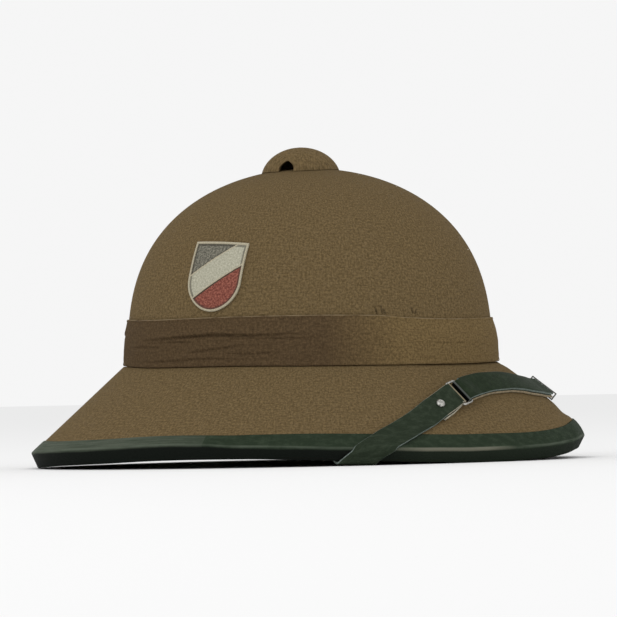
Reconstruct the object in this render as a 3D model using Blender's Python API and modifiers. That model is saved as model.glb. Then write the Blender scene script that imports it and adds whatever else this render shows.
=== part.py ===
"""A pith helmet: a cork crown and brim under canvas, a cloth band, a leather rim and chin strap.

Metres, +Z up, +X to the helmet's front and -Y to the wearer's right. The origin is on the floor that
the rim rests on, in the middle of the rim. A bearing is an angle in plan, in degrees from the front,
counted positive towards the wearer's right.
"""

import math

import bmesh
import bpy
import numpy as np
from mathutils import Matrix, Vector

# Crown, brim and what parts them
RIM_LENGTH = 0.3424         # front to back over the leather rim
RIM_WIDTH = 0.275           # side to side over the leather rim
CROWN_LENGTH = 0.226        # outside the dome, at its foot
CROWN_WIDTH = 0.192
CROWN_AHEAD = 0.0026        # the crown's middle lies this far ahead of the rim's
CROWN_SPRING = 0.0592       # height at which the dome starts to curve in
CROWN_RISE = 0.123          # from there to the top of the dome
CROWN_FULLNESS = 2.8        # exponent of the dome's side profile, where 2 is an ellipse
CROWN_UPRIGHT = 0.11        # share of the dome's height that is as good as upright
CROWN_WALL = 0.005          # cork with its canvas
VENT_HOLE = 0.018           # length of the hole in the top of the dome
BRIM_FOOT = 0.0618          # height at which the brim leaves the crown, at front and back
FOOT_DIP = 0.0034           # how much lower it does so at the sides
BRIM_LAND = 0.0026          # level ledge of the brim outside the crown's foot
BRIM_KNEE = 0.002           # height of the brim's inner face
PEAK_SWELL = 0.003          # the most that the canvas swells across the brim's front
CLEARANCE = 0.0003          # between pieces that touch on the real helmet
AROUND = 64                 # sections round the helmet
SKIN_CUTS = 8               # straight stretches that stand for the brim's slope under the strap

# Leather rim binding
RIM_ARCH = 0.005            # how high the rim's underside arches at the sides
EDGE_DEPTH = 0.009          # height of the bound edge
EDGE_TUCK = 0.0046          # how far its lower corner lies inside its upper one
EDGE_ROUND = 0.0014         # radius of both corners
ROUND_COUNT = 2             # straight stretches that stand for each rounded corner
BINDING_LEG = 0.011         # how far the leather reaches over the brim
BINDING_UNDER = 0.010       # and under it
BINDING_THICK = 0.0014
BINDING_PROUD = 0.0006      # the leather stands this far above the canvas

# Bearing, then shares of RIM_ARCH, EDGE_DEPTH and BINDING_LEG
RIM_TABLE = (
    (0, 1.16, 0.89, 1.10),
    (10, 1.05, 0.86, 1.05),
    (20, 0.60, 0.86, 0.99),
    (32, 0.18, 0.88, 1.00),
    (44, 0.00, 0.89, 1.06),
    (54, 0.00, 0.87, 1.08),
    (64, 0.18, 0.82, 1.08),
    (76, 0.44, 0.80, 1.05),
    (85, 0.62, 0.81, 1.02),
    (95, 0.88, 0.78, 0.95),
    (104, 1.00, 0.82, 0.84),
    (112, 1.02, 0.98, 0.72),
    (122, 0.96, 1.02, 0.74),
    (137, 0.68, 1.00, 0.78),
    (154, 0.42, 1.02, 0.82),
    (167, 0.18, 1.07, 0.92),
    (180, 0.00, 1.07, 1.02),
)

# Share of the slope at the front, from the brim's ledge to its rim, then share of PEAK_SWELL
PEAK_TABLE = (
    (0.00, 0.00),
    (0.10, 0.42),
    (0.20, 0.62),
    (0.33, 0.78),
    (0.44, 0.91),
    (0.54, 1.05),
    (0.61, 1.05),
    (0.69, 0.84),
    (0.73, 0.77),
    (0.76, 0.88),
    (0.80, 1.06),
    (0.84, 1.05),
    (0.87, 0.95),
    (0.92, 0.73),
    (0.96, 0.44),
    (1.00, 0.00),
)

# Cloth band
BAND_HEIGHT = 0.028         # from the brim's foot at the front to the band's upper edge
BAND_BULK = 0.003           # the most that its layers stand off the crown
BAND_AROUND = 72            # sections round it

# Bearing, then shares of FOOT_DIP and BAND_HEIGHT
FOOT_TABLE = (
    (0, 0.48, 0.93),
    (20, 0.76, 0.90),
    (42, 0.97, 0.87),
    (58, 1.00, 0.90),
    (70, 0.98, 0.96),
    (92, 0.90, 0.985),
    (112, 0.68, 0.99),
    (142, 0.62, 0.98),
    (180, 0.00, 1.035),
)

# Share of the band's height, then shares of BAND_BULK at the back and at the front
BAND_PROFILE = (
    (0.00, 0.86, 1.22),
    (0.14, 0.90, 1.24),
    (0.30, 0.84, 1.18),
    (0.45, 0.80, 1.20),
    (0.59, 0.72, 1.10),
    (0.74, 0.64, 0.92),
    (0.88, 0.46, 0.60),
    (1.00, 0.34, 0.36),
)

# Creases in the band: bearings where one starts and ends, shares of its height there,
# share of the height that it is wide, and its depth as a share of BAND_BULK
BAND_CREASES = (
    (84, 152, 0.60, 0.58, 0.060, 0.34),
    (115, 133, 0.34, 0.25, 0.050, 0.24),
    (136, 158, 0.13, 0.16, 0.050, 0.22),
    (-150, -96, 0.52, 0.60, 0.060, 0.30),
    (-60, -24, 0.30, 0.36, 0.050, 0.22),
)

# Ventilator cap
CAP_RADIUS = 0.0248         # of the dome that it is cut from, at its middle
CAP_SEMI = 0.020            # that dome's half height
CAP_TOP = 0.0133            # its top above the crown's
CAP_WALL = 0.0018
CAP_BEHIND = 0.0035         # its middle lies this far behind the crown's
CAP_AROUND = 30
ARCH_COUNT = 2
ARCH_WIDTH = 0.0098
ARCH_HEIGHT = 0.0072
ARCH_BEARING = 112.5        # bearing of the opening at the wearer's right

# Chin strap
STRAP_WIDTH = 0.015
STRAP_THICK = 0.0014
STRAP_STEP = 0.0055         # between the strap's sections
STRAP_RAMP = 0.005          # length over which it climbs onto the leather rim
STRAP_SLACK = 0.0005        # more room for it under the brim
HEAD_SEAT = 0.0003          # more room under the rivet's and the studs' heads
KNEE_ROUND = 0.002          # its bend where the brim's underside meets the crown's inner wall
WALL_REACH = 0.030          # height of that wall within the strap's reach
STRAP_LIFT = 0.012          # length over which one layer climbs onto another
FOLD_TAIL = 0.0225          # fold-back of the short strap, behind the loop's bar
END_PAST_SLIDE = 0.003      # fold-back of the long strap, past the slide
STUD_INSET = 0.0055         # from the end of a strap to its stud
STUD_SHANK = 0.003
STUD_HEAD = 0.008
STUD_CAP = 0.0012           # thickness of its head
LOOP_WIRE = 0.0015
LOOP_SPAN = 0.008           # between the middles of its two long bars
LOOP_ROOM = 0.0004          # beside the strap, at each end of those bars
RIVET_BACK = 0.0165         # from the loop's bar to the rivet
RIVET_HEAD = 0.0056
RIVET_DOME = 0.0014
RIVET_SHANK = 0.0024
SLIDE_LENGTH = 0.007        # along the strap
SLIDE_ROOM = 0.0019         # below the strap in the slide
SLIDE_SHEET = 0.0007
SLIDE_BEARING = 1.5

# The strap's way over the skin: bearing, and share of the distance from the rim's crease up to the
# brim's ledge, less than 0 up the brim. Under the brim, where it is more than 0, the bound edge and
# the underside come to about 1.26 of that distance, and the rest is on the crown's inner wall.
SHORT_WAY = (
    (95.5, 1.45),
    (95.5, 1.26),
    (94.0, 1.05),
    (91.3, 0.80),
    (88.0, 0.54),
    (84.2, 0.31),
    (80.4, 0.137),
    (76.9, 0.00),
    (72.0, -0.15),
    (65.0, -0.33),
    (58.2, -0.49),
    (53.1, -0.585),
    (50.0, -0.625),
)
LONG_WAY = (
    (-95.5, 1.45),
    (-95.5, 1.26),
    (-94.0, 1.05),
    (-91.3, 0.80),
    (-88.0, 0.54),
    (-84.2, 0.31),
    (-80.4, 0.137),
    (-76.9, 0.00),
    (-70.0, -0.18),
    (-60.0, -0.36),
    (-48.0, -0.49),
    (-34.0, -0.57),
    (-18.0, -0.58),
    (-6.0, -0.57),
    (1.5, -0.565),
    (8.0, -0.595),
    (15.0, -0.645),
    (22.0, -0.705),
    (29.0, -0.735),
    (36.0, -0.737),
    (42.0, -0.715),
    (47.0, -0.665),
    (50.0, -0.625),
)

# Badge
BADGE_WIDTH = 0.0356
BADGE_HEIGHT = 0.0433
BADGE_PLATE = 0.0008        # thickness of its sheet
BADGE_RELIEF = 0.0006       # height of its border above the sheet
BADGE_BORDER = 0.0012
BADGE_RIDGE = 0.0008
BADGE_SHOULDER = 0.43       # share of its height above which its sides are straight and upright
BADGE_BANDS = (0.28, -0.10) # where its ridges cross its middle line, as shares of its height
BADGE_SLANT = 36.5          # slope of the ridges, in degrees
BADGE_BEARING = 121.6       # of its middle
BADGE_CENTRE = 0.0548       # height of its middle above the spring of the dome
BADGE_LEAN = 4.0            # its top leans this far towards the front, in degrees


def curve_through(rows, column):
    """A smooth curve through one column of a table, with no overshoot between its rows."""
    places = np.array([row[0] for row in rows], float)
    values = np.array([row[column] for row in rows], float)
    steps = np.diff(places)
    slopes = np.diff(values) / steps
    tangents = np.zeros(len(places))
    for i in range(1, len(places) - 1):
        if slopes[i - 1] * slopes[i] > 0:
            tangents[i] = 2 * slopes[i - 1] * slopes[i] / (slopes[i - 1] + slopes[i])

    def value(place):
        i = int(np.clip(np.searchsorted(places, place) - 1, 0, len(steps) - 1))
        t = min(max((place - places[i]) / steps[i], 0.0), 1.0)
        bend = (1 + 2 * t) * (1 - t) ** 2 * values[i] + t * t * (3 - 2 * t) * values[i + 1]
        return bend + steps[i] * t * (1 - t) * ((1 - t) * tangents[i] - t * tangents[i + 1])

    return value


def both_sides(rows, column):
    """The same curve for bearings of either sign."""
    curve = curve_through(rows, column)
    return lambda bearing: curve(abs((bearing + 180.0) % 360.0 - 180.0))


rim_lift = both_sides(RIM_TABLE, 1)
rim_depth = both_sides(RIM_TABLE, 2)
rim_leg = both_sides(RIM_TABLE, 3)
foot_dip = both_sides(FOOT_TABLE, 1)
band_top = both_sides(FOOT_TABLE, 2)
peak_swell = curve_through(PEAK_TABLE, 1)
bulk_back = curve_through(BAND_PROFILE, 1)
bulk_front = curve_through(BAND_PROFILE, 2)


def foot_height(bearing):
    """Height at which the brim leaves the crown."""
    return BRIM_FOOT - FOOT_DIP * foot_dip(bearing)


def ease(share):
    """0 to 1, slow at both ends."""
    share = min(max(share, 0.0), 1.0)
    return share * share * (3 - 2 * share)


# Crown surface

def crown_narrowing(height):
    """The crown's plan at a height, as a share of its plan at the foot."""
    climb = min(max((height - CROWN_SPRING) / CROWN_RISE, 0.0), 1.0)
    return math.sqrt(max(1.0 - climb ** CROWN_FULLNESS, 0.0))


def crown_point(bearing, height):
    """A point on the outside of the crown."""
    angle = math.radians(bearing)
    share = crown_narrowing(height)
    return Vector((CROWN_AHEAD + CROWN_LENGTH / 2 * share * math.cos(angle),
                   -CROWN_WIDTH / 2 * share * math.sin(angle), height))


def crown_height(x, y):
    """Height of the crown's outside above a place in plan."""
    spread = ((x - CROWN_AHEAD) / (CROWN_LENGTH / 2)) ** 2 + (y / (CROWN_WIDTH / 2)) ** 2
    return CROWN_SPRING + CROWN_RISE * max(1.0 - spread, 0.0) ** (1 / CROWN_FULLNESS)


def crown_normal(point):
    """Direction straight out of the crown at a point of its outside."""
    climb = min(max((point.z - CROWN_SPRING) / CROWN_RISE, 0.0), 1.0)
    return Vector((2 * (point.x - CROWN_AHEAD) / (CROWN_LENGTH / 2) ** 2,
                   2 * point.y / (CROWN_WIDTH / 2) ** 2,
                   CROWN_FULLNESS * climb ** (CROWN_FULLNESS - 1) / CROWN_RISE)).normalized()


def onto_crown(point, direction):
    """Where a line through a point meets the crown's outside."""
    for _ in range(12):
        climb = min(max((point.z - CROWN_SPRING) / CROWN_RISE, 0.0), 1.0)
        spread = ((point.x - CROWN_AHEAD) / (CROWN_LENGTH / 2)) ** 2 + (point.y / (CROWN_WIDTH / 2)) ** 2
        miss = spread + climb ** CROWN_FULLNESS - 1
        slope = Vector((2 * (point.x - CROWN_AHEAD) / (CROWN_LENGTH / 2) ** 2,
                        2 * point.y / (CROWN_WIDTH / 2) ** 2,
                        CROWN_FULLNESS * climb ** (CROWN_FULLNESS - 1) / CROWN_RISE))
        point = point - direction * (miss / slope.dot(direction))
    return point


# Brim sections, drawn in the upright plane of a bearing as (out, up)

def left_of(direction):
    """The direction a quarter turn to the left, which points out of the material."""
    return Vector((-direction.y, direction.x))


def meet(point, direction, other, other_direction):
    """Where two lines of a section cross."""
    side = left_of(other_direction)
    return point + direction * ((other - point).dot(side) / direction.dot(side))


class Section:
    """The brim and its binding cut at one bearing."""

    def __init__(self, bearing):
        angle = math.radians(bearing)
        ledge_x = CROWN_LENGTH / 2 + BRIM_LAND
        ledge_y = CROWN_WIDTH / 2 + BRIM_LAND
        start = Vector((CROWN_AHEAD + ledge_x * math.cos(angle), -ledge_y * math.sin(angle)))
        rim = Vector((RIM_LENGTH / 2 * math.cos(angle), -RIM_WIDTH / 2 * math.sin(angle)))
        self.start = start
        self.out = (rim - start).normalized()
        self.front = max(math.cos(angle), 0.0) ** 6
        foot = foot_height(bearing)
        under = RIM_ARCH * rim_lift(bearing)
        depth = EDGE_DEPTH * rim_depth(bearing)
        self.leg = BINDING_LEG * rim_leg(bearing)
        self.ledge = Vector((0.0, foot))
        self.wall = Vector((-BRIM_LAND - CROWN_WALL, foot))
        self.knee = Vector((-BRIM_LAND - CROWN_WALL, foot - BRIM_KNEE))
        crease = Vector(((rim - start).length, under + depth))
        corner = Vector((crease.x - EDGE_TUCK, under))
        slope = (crease - self.ledge).normalized()
        canvas_end = crease - left_of(slope) * BINDING_PROUD
        self.slope = (canvas_end - self.ledge).normalized()
        self.canvas_end = canvas_end
        self.crease = canvas_end + left_of(self.slope) * BINDING_PROUD
        self.set_corner(corner)
        edge_line = rounded((self.crease, corner, self.knee), (0, EDGE_ROUND, 0), ROUND_COUNT)
        lowest = min(point.y for point, normal in edge_line)
        self.set_corner(corner - Vector((0.0, lowest - under)))

    def set_corner(self, corner):
        """Set the lower corner of the bound edge, and the directions that follow from it."""
        self.corner = corner
        self.edge = (corner - self.crease).normalized()
        rise = (self.knee - corner).normalized()
        self.cork_end = corner - left_of(rise) * BINDING_PROUD
        self.rise = (self.knee - self.cork_end).normalized()

    def swell(self, share):
        """How far the canvas stands off a straight line from the ledge to the rim."""
        return PEAK_SWELL * self.front * peak_swell(share)

    def canvas(self, share):
        """A point of the canvas, from the ledge at 0 to the rim at 1."""
        along = self.ledge.lerp(self.canvas_end, share)
        return along + left_of(self.slope) * self.swell(share)

    def leather_corner(self, inset, first):
        """A corner of the binding's section, moved in by an inset: its upper one, or its lower one."""
        edge_point = self.corner - left_of(self.edge) * inset
        if first:
            upper = self.crease - left_of(self.slope) * inset
            return meet(upper, self.slope, edge_point, self.edge)
        lower = self.corner - left_of(self.rise) * inset
        return meet(lower, self.rise, edge_point, self.edge)

    def place(self, flat):
        """A point of the section in space."""
        plan = self.start + self.out * flat.x
        return Vector((plan.x, plan.y, flat.y))

    def turn(self, flat):
        """A direction of the section in space."""
        return Vector((self.out.x * flat.x, self.out.y * flat.x, flat.y))


def rounded(points, radii, cuts=4):
    """Points and outward normals along a line of corners, each with its own radius."""
    trail = []
    for i, point in enumerate(points):
        if i == 0 or i == len(points) - 1 or radii[i] == 0:
            if i > 0:
                trail.append((point, left_of((point - points[i - 1]).normalized())))
            if i < len(points) - 1:
                trail.append((point, left_of((points[i + 1] - point).normalized())))
            continue
        before = (point - points[i - 1]).normalized()
        after = (points[i + 1] - point).normalized()
        turn = math.atan2(before.x * after.y - before.y * after.x, before.dot(after))
        back = radii[i] * math.tan(abs(turn) / 2)
        middle = point - before * back - left_of(before) * math.copysign(radii[i], -turn)
        for step in range(cuts + 1):
            swing = turn * step / cuts
            normal = left_of(before)
            normal = Vector((normal.x * math.cos(swing) - normal.y * math.sin(swing),
                             normal.x * math.sin(swing) + normal.y * math.cos(swing)))
            trail.append((middle + normal * math.copysign(radii[i], -turn), normal))
    return trail


def skin(bearing, along, lift):
    """A point over the helmet's skin, and the skin's outward direction there.

    The distance along the skin is counted from the rim's crease, less than 0 up the brim, and
    more than 0 round the edge, up the brim's underside and up the crown's inner wall.
    """
    cut_at = Section(bearing)
    slope_length = (cut_at.canvas_end - cut_at.ledge).length
    step = 1 - (cut_at.leg + STRAP_RAMP) / slope_length
    points = [cut_at.canvas(step * i / SKIN_CUTS) for i in range(SKIN_CUTS + 1)]
    points.append(cut_at.canvas(1 - cut_at.leg / slope_length) + left_of(cut_at.slope) * BINDING_PROUD)
    radii = [0] * len(points)
    points += [cut_at.crease, cut_at.corner, cut_at.corner + cut_at.rise * BINDING_UNDER,
               cut_at.knee, cut_at.knee + Vector((0.0, WALL_REACH))]
    radii += [EDGE_ROUND, EDGE_ROUND, 0, KNEE_ROUND, 0]
    trail = rounded(points, radii)
    marks = [0.0]
    for (point, _), (following, _) in zip(trail, trail[1:]):
        marks.append(marks[-1] + (following - point).length)
    nearest = min(range(len(trail)), key=lambda i: (trail[i][0] - cut_at.crease).length)
    place = along + marks[nearest]
    i = min(max(int(np.searchsorted(marks, place)) - 1, 0), len(trail) - 2)
    run = marks[i + 1] - marks[i]
    share = (place - marks[i]) / run if run else 0.0
    point = trail[i][0].lerp(trail[i + 1][0], share)
    normal = trail[i][1].lerp(trail[i + 1][1], min(max(share, 0.0), 1.0)).normalized()
    return cut_at.place(point + normal * lift), cut_at.turn(normal)


# Mesh helpers

def collection(name):
    made = bpy.data.collections.new(name)
    bpy.context.scene.collection.children.link(made)
    return made


def material(name, colour, roughness, metallic=0.0):
    made = bpy.data.materials.new(name)
    made.use_nodes = True
    shader = made.node_tree.nodes["Principled BSDF"]
    shader.inputs["Base Color"].default_value = (*colour, 1.0)
    shader.inputs["Roughness"].default_value = roughness
    shader.inputs["Metallic"].default_value = metallic
    made.diffuse_color = (*colour, 1.0)
    return made


def add_object(name, mesh, finish, smooth=35.0):
    made = bpy.data.objects.new(name, mesh)
    mesh.materials.append(finish)
    if smooth:
        mesh.shade_smooth()
        mesh.set_sharp_from_angle(angle=math.radians(smooth))
    HELMET.objects.link(made)
    return made


def grid_mesh(name, rows, wrap_rows=False, wrap_columns=False):
    """A mesh of four-sided faces between rows of points, joined round where asked."""
    shape = bmesh.new()
    made = [[shape.verts.new(point) for point in row] for row in rows]
    last_row = len(made) if wrap_rows else len(made) - 1
    count = len(made[0])
    last_column = count if wrap_columns else count - 1
    for i in range(last_row):
        row, following = made[i], made[(i + 1) % len(made)]
        for j in range(last_column):
            k = (j + 1) % count
            shape.faces.new((row[j], row[k], following[k], following[j]))
    bmesh.ops.remove_doubles(shape, verts=shape.verts, dist=1e-7)
    bmesh.ops.dissolve_degenerate(shape, edges=shape.edges, dist=1e-7)
    bmesh.ops.recalc_face_normals(shape, faces=shape.faces)
    mesh = bpy.data.meshes.new(name)
    shape.to_mesh(mesh)
    shape.free()
    return mesh


def solidify(target, thickness, offset):
    shell = target.modifiers.new("wall", "SOLIDIFY")
    shell.thickness = thickness
    shell.offset = offset
    shell.use_even_offset = True


def cut(target, cutter):
    """Cut a hole in the target. The cutter goes to the cutters' collection."""
    CUTTERS.objects.link(cutter)
    cutter.hide_render = True
    cutter.display_type = "WIRE"
    hole = target.modifiers.new("hole", "BOOLEAN")
    hole.operation = "DIFFERENCE"
    hole.solver = "EXACT"
    hole.object = cutter


def cylinder_cutter(name, radius, half_length, frame):
    shape = bmesh.new()
    bmesh.ops.create_cone(shape, cap_ends=True, segments=16, radius1=radius, radius2=radius,
                          depth=2 * half_length)
    mesh = bpy.data.meshes.new(name)
    shape.to_mesh(mesh)
    shape.free()
    made = bpy.data.objects.new(name, mesh)
    made.matrix_world = frame
    return made


def turned_piece(name, profile, frame, finish, segments=20):
    """A solid turned from (radius, height) points that run down its outer side."""
    mesh = bpy.data.meshes.new(name)
    mesh.from_pydata([(radius, 0.0, height) for radius, height in profile],
                     [(i, i + 1) for i in range(len(profile) - 1)], [])
    made = add_object(name, mesh, finish, smooth=0)
    screw = made.modifiers.new("turn", "SCREW")
    screw.steps = screw.render_steps = segments
    screw.use_merge_vertices = True
    screw.merge_threshold = 0.00001
    made.matrix_world = frame
    return made


def frame_at(origin, along, normal):
    """A placing matrix with +X along a direction and +Z along a normal."""
    z = normal.normalized()
    x = (along - z * along.dot(z)).normalized()
    y = z.cross(x)
    made = Matrix((x, y, z)).transposed().to_4x4()
    made.translation = origin
    return made


def bearings(count):
    return [360.0 * i / count for i in range(count)]


# Pieces of the helmet

def make_crown():
    """The dome, an open surface from its foot to the hole at its top, thickened inwards."""
    top_share = VENT_HOLE / CROWN_LENGTH
    last = math.acos(top_share)
    rows = 8
    columns = []
    for bearing in bearings(AROUND):
        column = [crown_point(bearing, foot_height(bearing) + CLEARANCE),
                  crown_point(bearing, CROWN_SPRING + CROWN_RISE * CROWN_UPRIGHT)]
        for row in range(1, rows + 1):
            height = math.sin(last * row / rows) ** (2 / CROWN_FULLNESS)
            column.append(crown_point(bearing, CROWN_SPRING + CROWN_RISE * height))
        columns.append(column)
    crown = add_object("crown", grid_mesh("crown", columns, wrap_rows=True), CANVAS)
    solidify(crown, CROWN_WALL, -1.0)


def make_brim():
    """The cork brim under its canvas, recessed where the leather binding sits."""
    seat = BINDING_THICK + CLEARANCE
    loops = []
    for bearing in bearings(AROUND):
        cut_at = Section(bearing)
        slope_length = (cut_at.canvas_end - cut_at.ledge).length
        leg_share = 1 - (cut_at.leg + CLEARANCE) / slope_length
        flat = [cut_at.wall, cut_at.ledge]
        flat += [cut_at.canvas(leg_share * share) for share in (0.28, 0.54, 0.74, 0.88, 1.0)]
        flat.append(flat[-1] - left_of(cut_at.slope) * (seat - BINDING_PROUD))
        flat.append(cut_at.leather_corner(seat, True))
        flat.append(cut_at.leather_corner(seat, False))
        leg_end = cut_at.cork_end + cut_at.rise * (BINDING_UNDER + CLEARANCE)
        flat.append(leg_end - left_of(cut_at.rise) * (seat - BINDING_PROUD))
        flat.append(leg_end)
        flat.append(cut_at.knee)
        loops.append([cut_at.place(point) for point in flat])
    add_object("brim", grid_mesh("brim", loops, wrap_rows=True, wrap_columns=True), CANVAS)


def make_binding():
    """The leather strip folded round the rim."""
    loops = []
    for bearing in bearings(AROUND):
        cut_at = Section(bearing)
        slope_length = (cut_at.canvas_end - cut_at.ledge).length
        upper = cut_at.canvas(1 - cut_at.leg / slope_length) + left_of(cut_at.slope) * BINDING_PROUD
        lower = cut_at.corner + cut_at.rise * BINDING_UNDER
        outside = rounded((upper, cut_at.crease, cut_at.corner, lower), (0, EDGE_ROUND, EDGE_ROUND, 0),
                          ROUND_COUNT)
        flat = [point for point, normal in outside]
        flat.append(lower - left_of(cut_at.rise) * BINDING_THICK)
        flat.append(cut_at.leather_corner(BINDING_THICK, False))
        flat.append(cut_at.leather_corner(BINDING_THICK, True))
        flat.append(upper - left_of(cut_at.slope) * BINDING_THICK)
        loops.append([cut_at.place(point) for point in flat])
    add_object("rim_binding", grid_mesh("rim_binding", loops, wrap_rows=True, wrap_columns=True), LEATHER)


def crease_depth(bearing, share):
    """How deep the band's creases are at one place on it, as a share of BAND_BULK."""
    deepest = 0.0
    for first, last, low, high, width, depth in BAND_CREASES:
        along = ((bearing - first + 180.0) % 360.0 - 180.0) / (last - first)
        if 0.0 < along < 1.0:
            off = (share - low - (high - low) * along) / width
            deepest = max(deepest, depth * math.exp(-off * off) * math.sin(math.pi * along) ** 0.5)
    return deepest


def make_band():
    """The wound cloth band, with its creases."""
    shares = [row[0] for row in BAND_PROFILE]
    inner_shares = (1.0, 0.45, 0.0)
    loops = []
    for bearing in bearings(BAND_AROUND):
        low = foot_height(bearing) + CLEARANCE
        high = BRIM_FOOT + BAND_HEIGHT * band_top(bearing)
        front = (1 + math.cos(math.radians(bearing))) / 2
        loop = []
        for share in shares:
            point = crown_point(bearing, low + (high - low) * share)
            bulk = bulk_back(share) * (1 - front) + bulk_front(share) * front
            out = crown_normal(point)
            out.z = 0.0
            loop.append(point + out.normalized() * BAND_BULK * (bulk - crease_depth(bearing, share)))
        for share in inner_shares:
            point = crown_point(bearing, low + (high - low) * share)
            loop.append(point + crown_normal(point) * CLEARANCE)
        loops.append(loop)
    add_object("hat_band", grid_mesh("hat_band", loops, wrap_rows=True, wrap_columns=True), BAND_CLOTH)


def make_vent_cap():
    """The hollow cap over the hole, with pointed openings round its foot."""
    middle_x = CROWN_AHEAD - CAP_BEHIND
    top = CROWN_SPRING + CROWN_RISE + CAP_TOP
    rows = 5
    loops = []
    for bearing in bearings(CAP_AROUND):
        angle = math.radians(bearing)
        out = Vector((math.cos(angle), -math.sin(angle), 0.0))
        loop = []
        for inset, shares in ((0.0, range(rows + 1)), (CAP_WALL, range(rows, -1, -1))):
            radius, semi = CAP_RADIUS - inset, CAP_SEMI - inset
            foot = Vector((middle_x, 0.0, 0.0)) + out * radius * 0.97
            low = crown_height(foot.x, foot.y) + CLEARANCE
            drop = top - inset - low
            for row in shares:
                sink = drop * math.sin(math.pi / 2 * row / rows) ** 2
                reach = radius * math.sqrt(max(1 - (1 - min(sink / semi, 1.0)) ** 2, 0.0))
                loop.append(Vector((middle_x, 0.0, top - inset - sink)) + out * reach)
        loops.append(loop)
    cap = add_object("vent_cap", grid_mesh("vent_cap", loops, wrap_rows=True), CANVAS)
    base = crown_height(middle_x, CAP_RADIUS)
    for i in range(ARCH_COUNT):
        angle = math.radians(ARCH_BEARING + 360.0 * i / ARCH_COUNT)
        cut(cap, arch_cutter("cap_opening_%d" % (i + 1), middle_x, angle, base))


def arch_cutter(name, middle_x, angle, base):
    """A pointed arch, long enough to pass through the cap's wall on one side."""
    half = ARCH_WIDTH / 2
    crown = base + ARCH_HEIGHT
    outline = [(-half, base - ARCH_HEIGHT), (-half, base + ARCH_HEIGHT * 0.35),
               (-half * 0.72, base + ARCH_HEIGHT * 0.68), (0.0, crown),
               (half * 0.72, base + ARCH_HEIGHT * 0.68), (half, base + ARCH_HEIGHT * 0.35),
               (half, base - ARCH_HEIGHT)]
    out = Vector((math.cos(angle), -math.sin(angle), 0.0))
    side = Vector((-out.y, out.x, 0.0))
    centre = Vector((middle_x, 0.0, 0.0))
    rows = [[centre + out * reach + side * x + Vector((0.0, 0.0, z)) for x, z in outline]
            for reach in (CAP_RADIUS * 0.55, CAP_RADIUS * 1.3)]
    shape = bmesh.new()
    ends = [[shape.verts.new(point) for point in row] for row in rows]
    count = len(outline)
    for j in range(count):
        k = (j + 1) % count
        shape.faces.new((ends[0][j], ends[0][k], ends[1][k], ends[1][j]))
    for end in ends:
        shape.faces.new(end)
    bmesh.ops.recalc_face_normals(shape, faces=shape.faces)
    mesh = bpy.data.meshes.new(name)
    shape.to_mesh(mesh)
    shape.free()
    return bpy.data.objects.new(name, mesh)


# Chin strap

class Way:
    """A smooth way over the helmet's skin, measured along it."""

    def __init__(self, rows):
        places = []
        for bearing, share in rows:
            cut_at = Section(bearing)
            slope_length = (cut_at.crease - cut_at.ledge).length
            places.append((bearing, share * slope_length))
        table = [(0.0, *places[0])]
        for before, after in zip(places, places[1:]):
            middle = (before[0] + after[0]) / 2, (before[1] + after[1]) / 2
            sideways = (after[0] - before[0]) * degree_length(*middle)
            table.append((table[-1][0] + math.hypot(sideways, after[1] - before[1]), *after))
        self.length = table[-1][0]
        self.bearing = curve_through(table, 1)
        self.along = curve_through(table, 2)

    def row(self, place, lift, skew=0.0):
        """Points across the strap. Skewed all the way, they lie level, as the rim does."""
        bearing, along = self.bearing(place), self.along(place)
        per_degree = degree_length(bearing, along)
        reach = STRAP_STEP / 8
        ahead, behind = min(place + reach, self.length), max(place - reach, 0.0)
        run = Vector(((self.bearing(ahead) - self.bearing(behind)) * per_degree,
                      self.along(ahead) - self.along(behind))).normalized()
        side = left_of(run)
        shear = -skew * side.y / run.y if skew else 0.0
        row = []
        for share in (-0.5, 0.0, 0.5):
            shift = (side + run * shear) * STRAP_WIDTH * share
            row.append(skin(bearing + shift.x / per_degree, along + shift.y, lift)[0])
        return row

    def find(self, bearing):
        """The place where the way passes a bearing."""
        low, high = 0.0, self.length
        for _ in range(40):
            middle = (low + high) / 2
            if abs(self.bearing(middle) - self.bearing(0.0)) < abs(bearing - self.bearing(0.0)):
                low = middle
            else:
                high = middle
        return low


def degree_length(bearing, along):
    """Distance on the skin that one degree of bearing comes to."""
    return (skin(bearing + 0.5, along, 0.0)[0] - skin(bearing - 0.5, along, 0.0)[0]).length


def frame_on(way, place, lift):
    """A frame on the skin, +X along the strap and +Z straight out."""
    reach = STRAP_STEP / 8
    bearing, along = way.bearing(place), way.along(place)
    ahead, behind = min(place + reach, way.length), max(place - reach, 0.0)
    after = skin(way.bearing(ahead), way.along(ahead), 0.0)[0]
    before = skin(way.bearing(behind), way.along(behind), 0.0)[0]
    level = skin(bearing + 0.5, along, 0.0)[0] - skin(bearing - 0.5, along, 0.0)[0]
    steep = skin(bearing, along + reach, 0.0)[0] - skin(bearing, along - reach, 0.0)[0]
    point, outward = skin(bearing, along, 0.0)
    normal = level.cross(steep).normalized()
    if normal.dot(outward) < 0:
        normal = -normal
    return frame_at(point + normal * lift, after - before, normal)


def flat_row(frame, x, z):
    """Points straight across the strap in a frame."""
    return [frame @ Vector((x, STRAP_WIDTH * share, z)) for share in (-0.5, 0.0, 0.5)]


def bends(way, first, last):
    """Places along a way, closer together where it goes round the rim's corners and the knee."""
    places = [first]
    fine = STRAP_STEP / 12
    place = first
    while place + fine < last:
        place += fine
        bearing, along = way.bearing(place), way.along(place)
        cut_at = Section(bearing)
        depth = (cut_at.corner - cut_at.crease).length
        knee = depth + (cut_at.knee - cut_at.corner).length
        corners = min(abs(along), abs(along - depth), abs(along - knee + KNEE_ROUND / 2))
        if place - places[-1] >= (fine * 1.5 if corners < 1.1 * EDGE_ROUND else STRAP_STEP):
            places.append(place)
    if last - places[-1] < STRAP_STEP / 3:
        places.pop()
    return places + [last]


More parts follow.
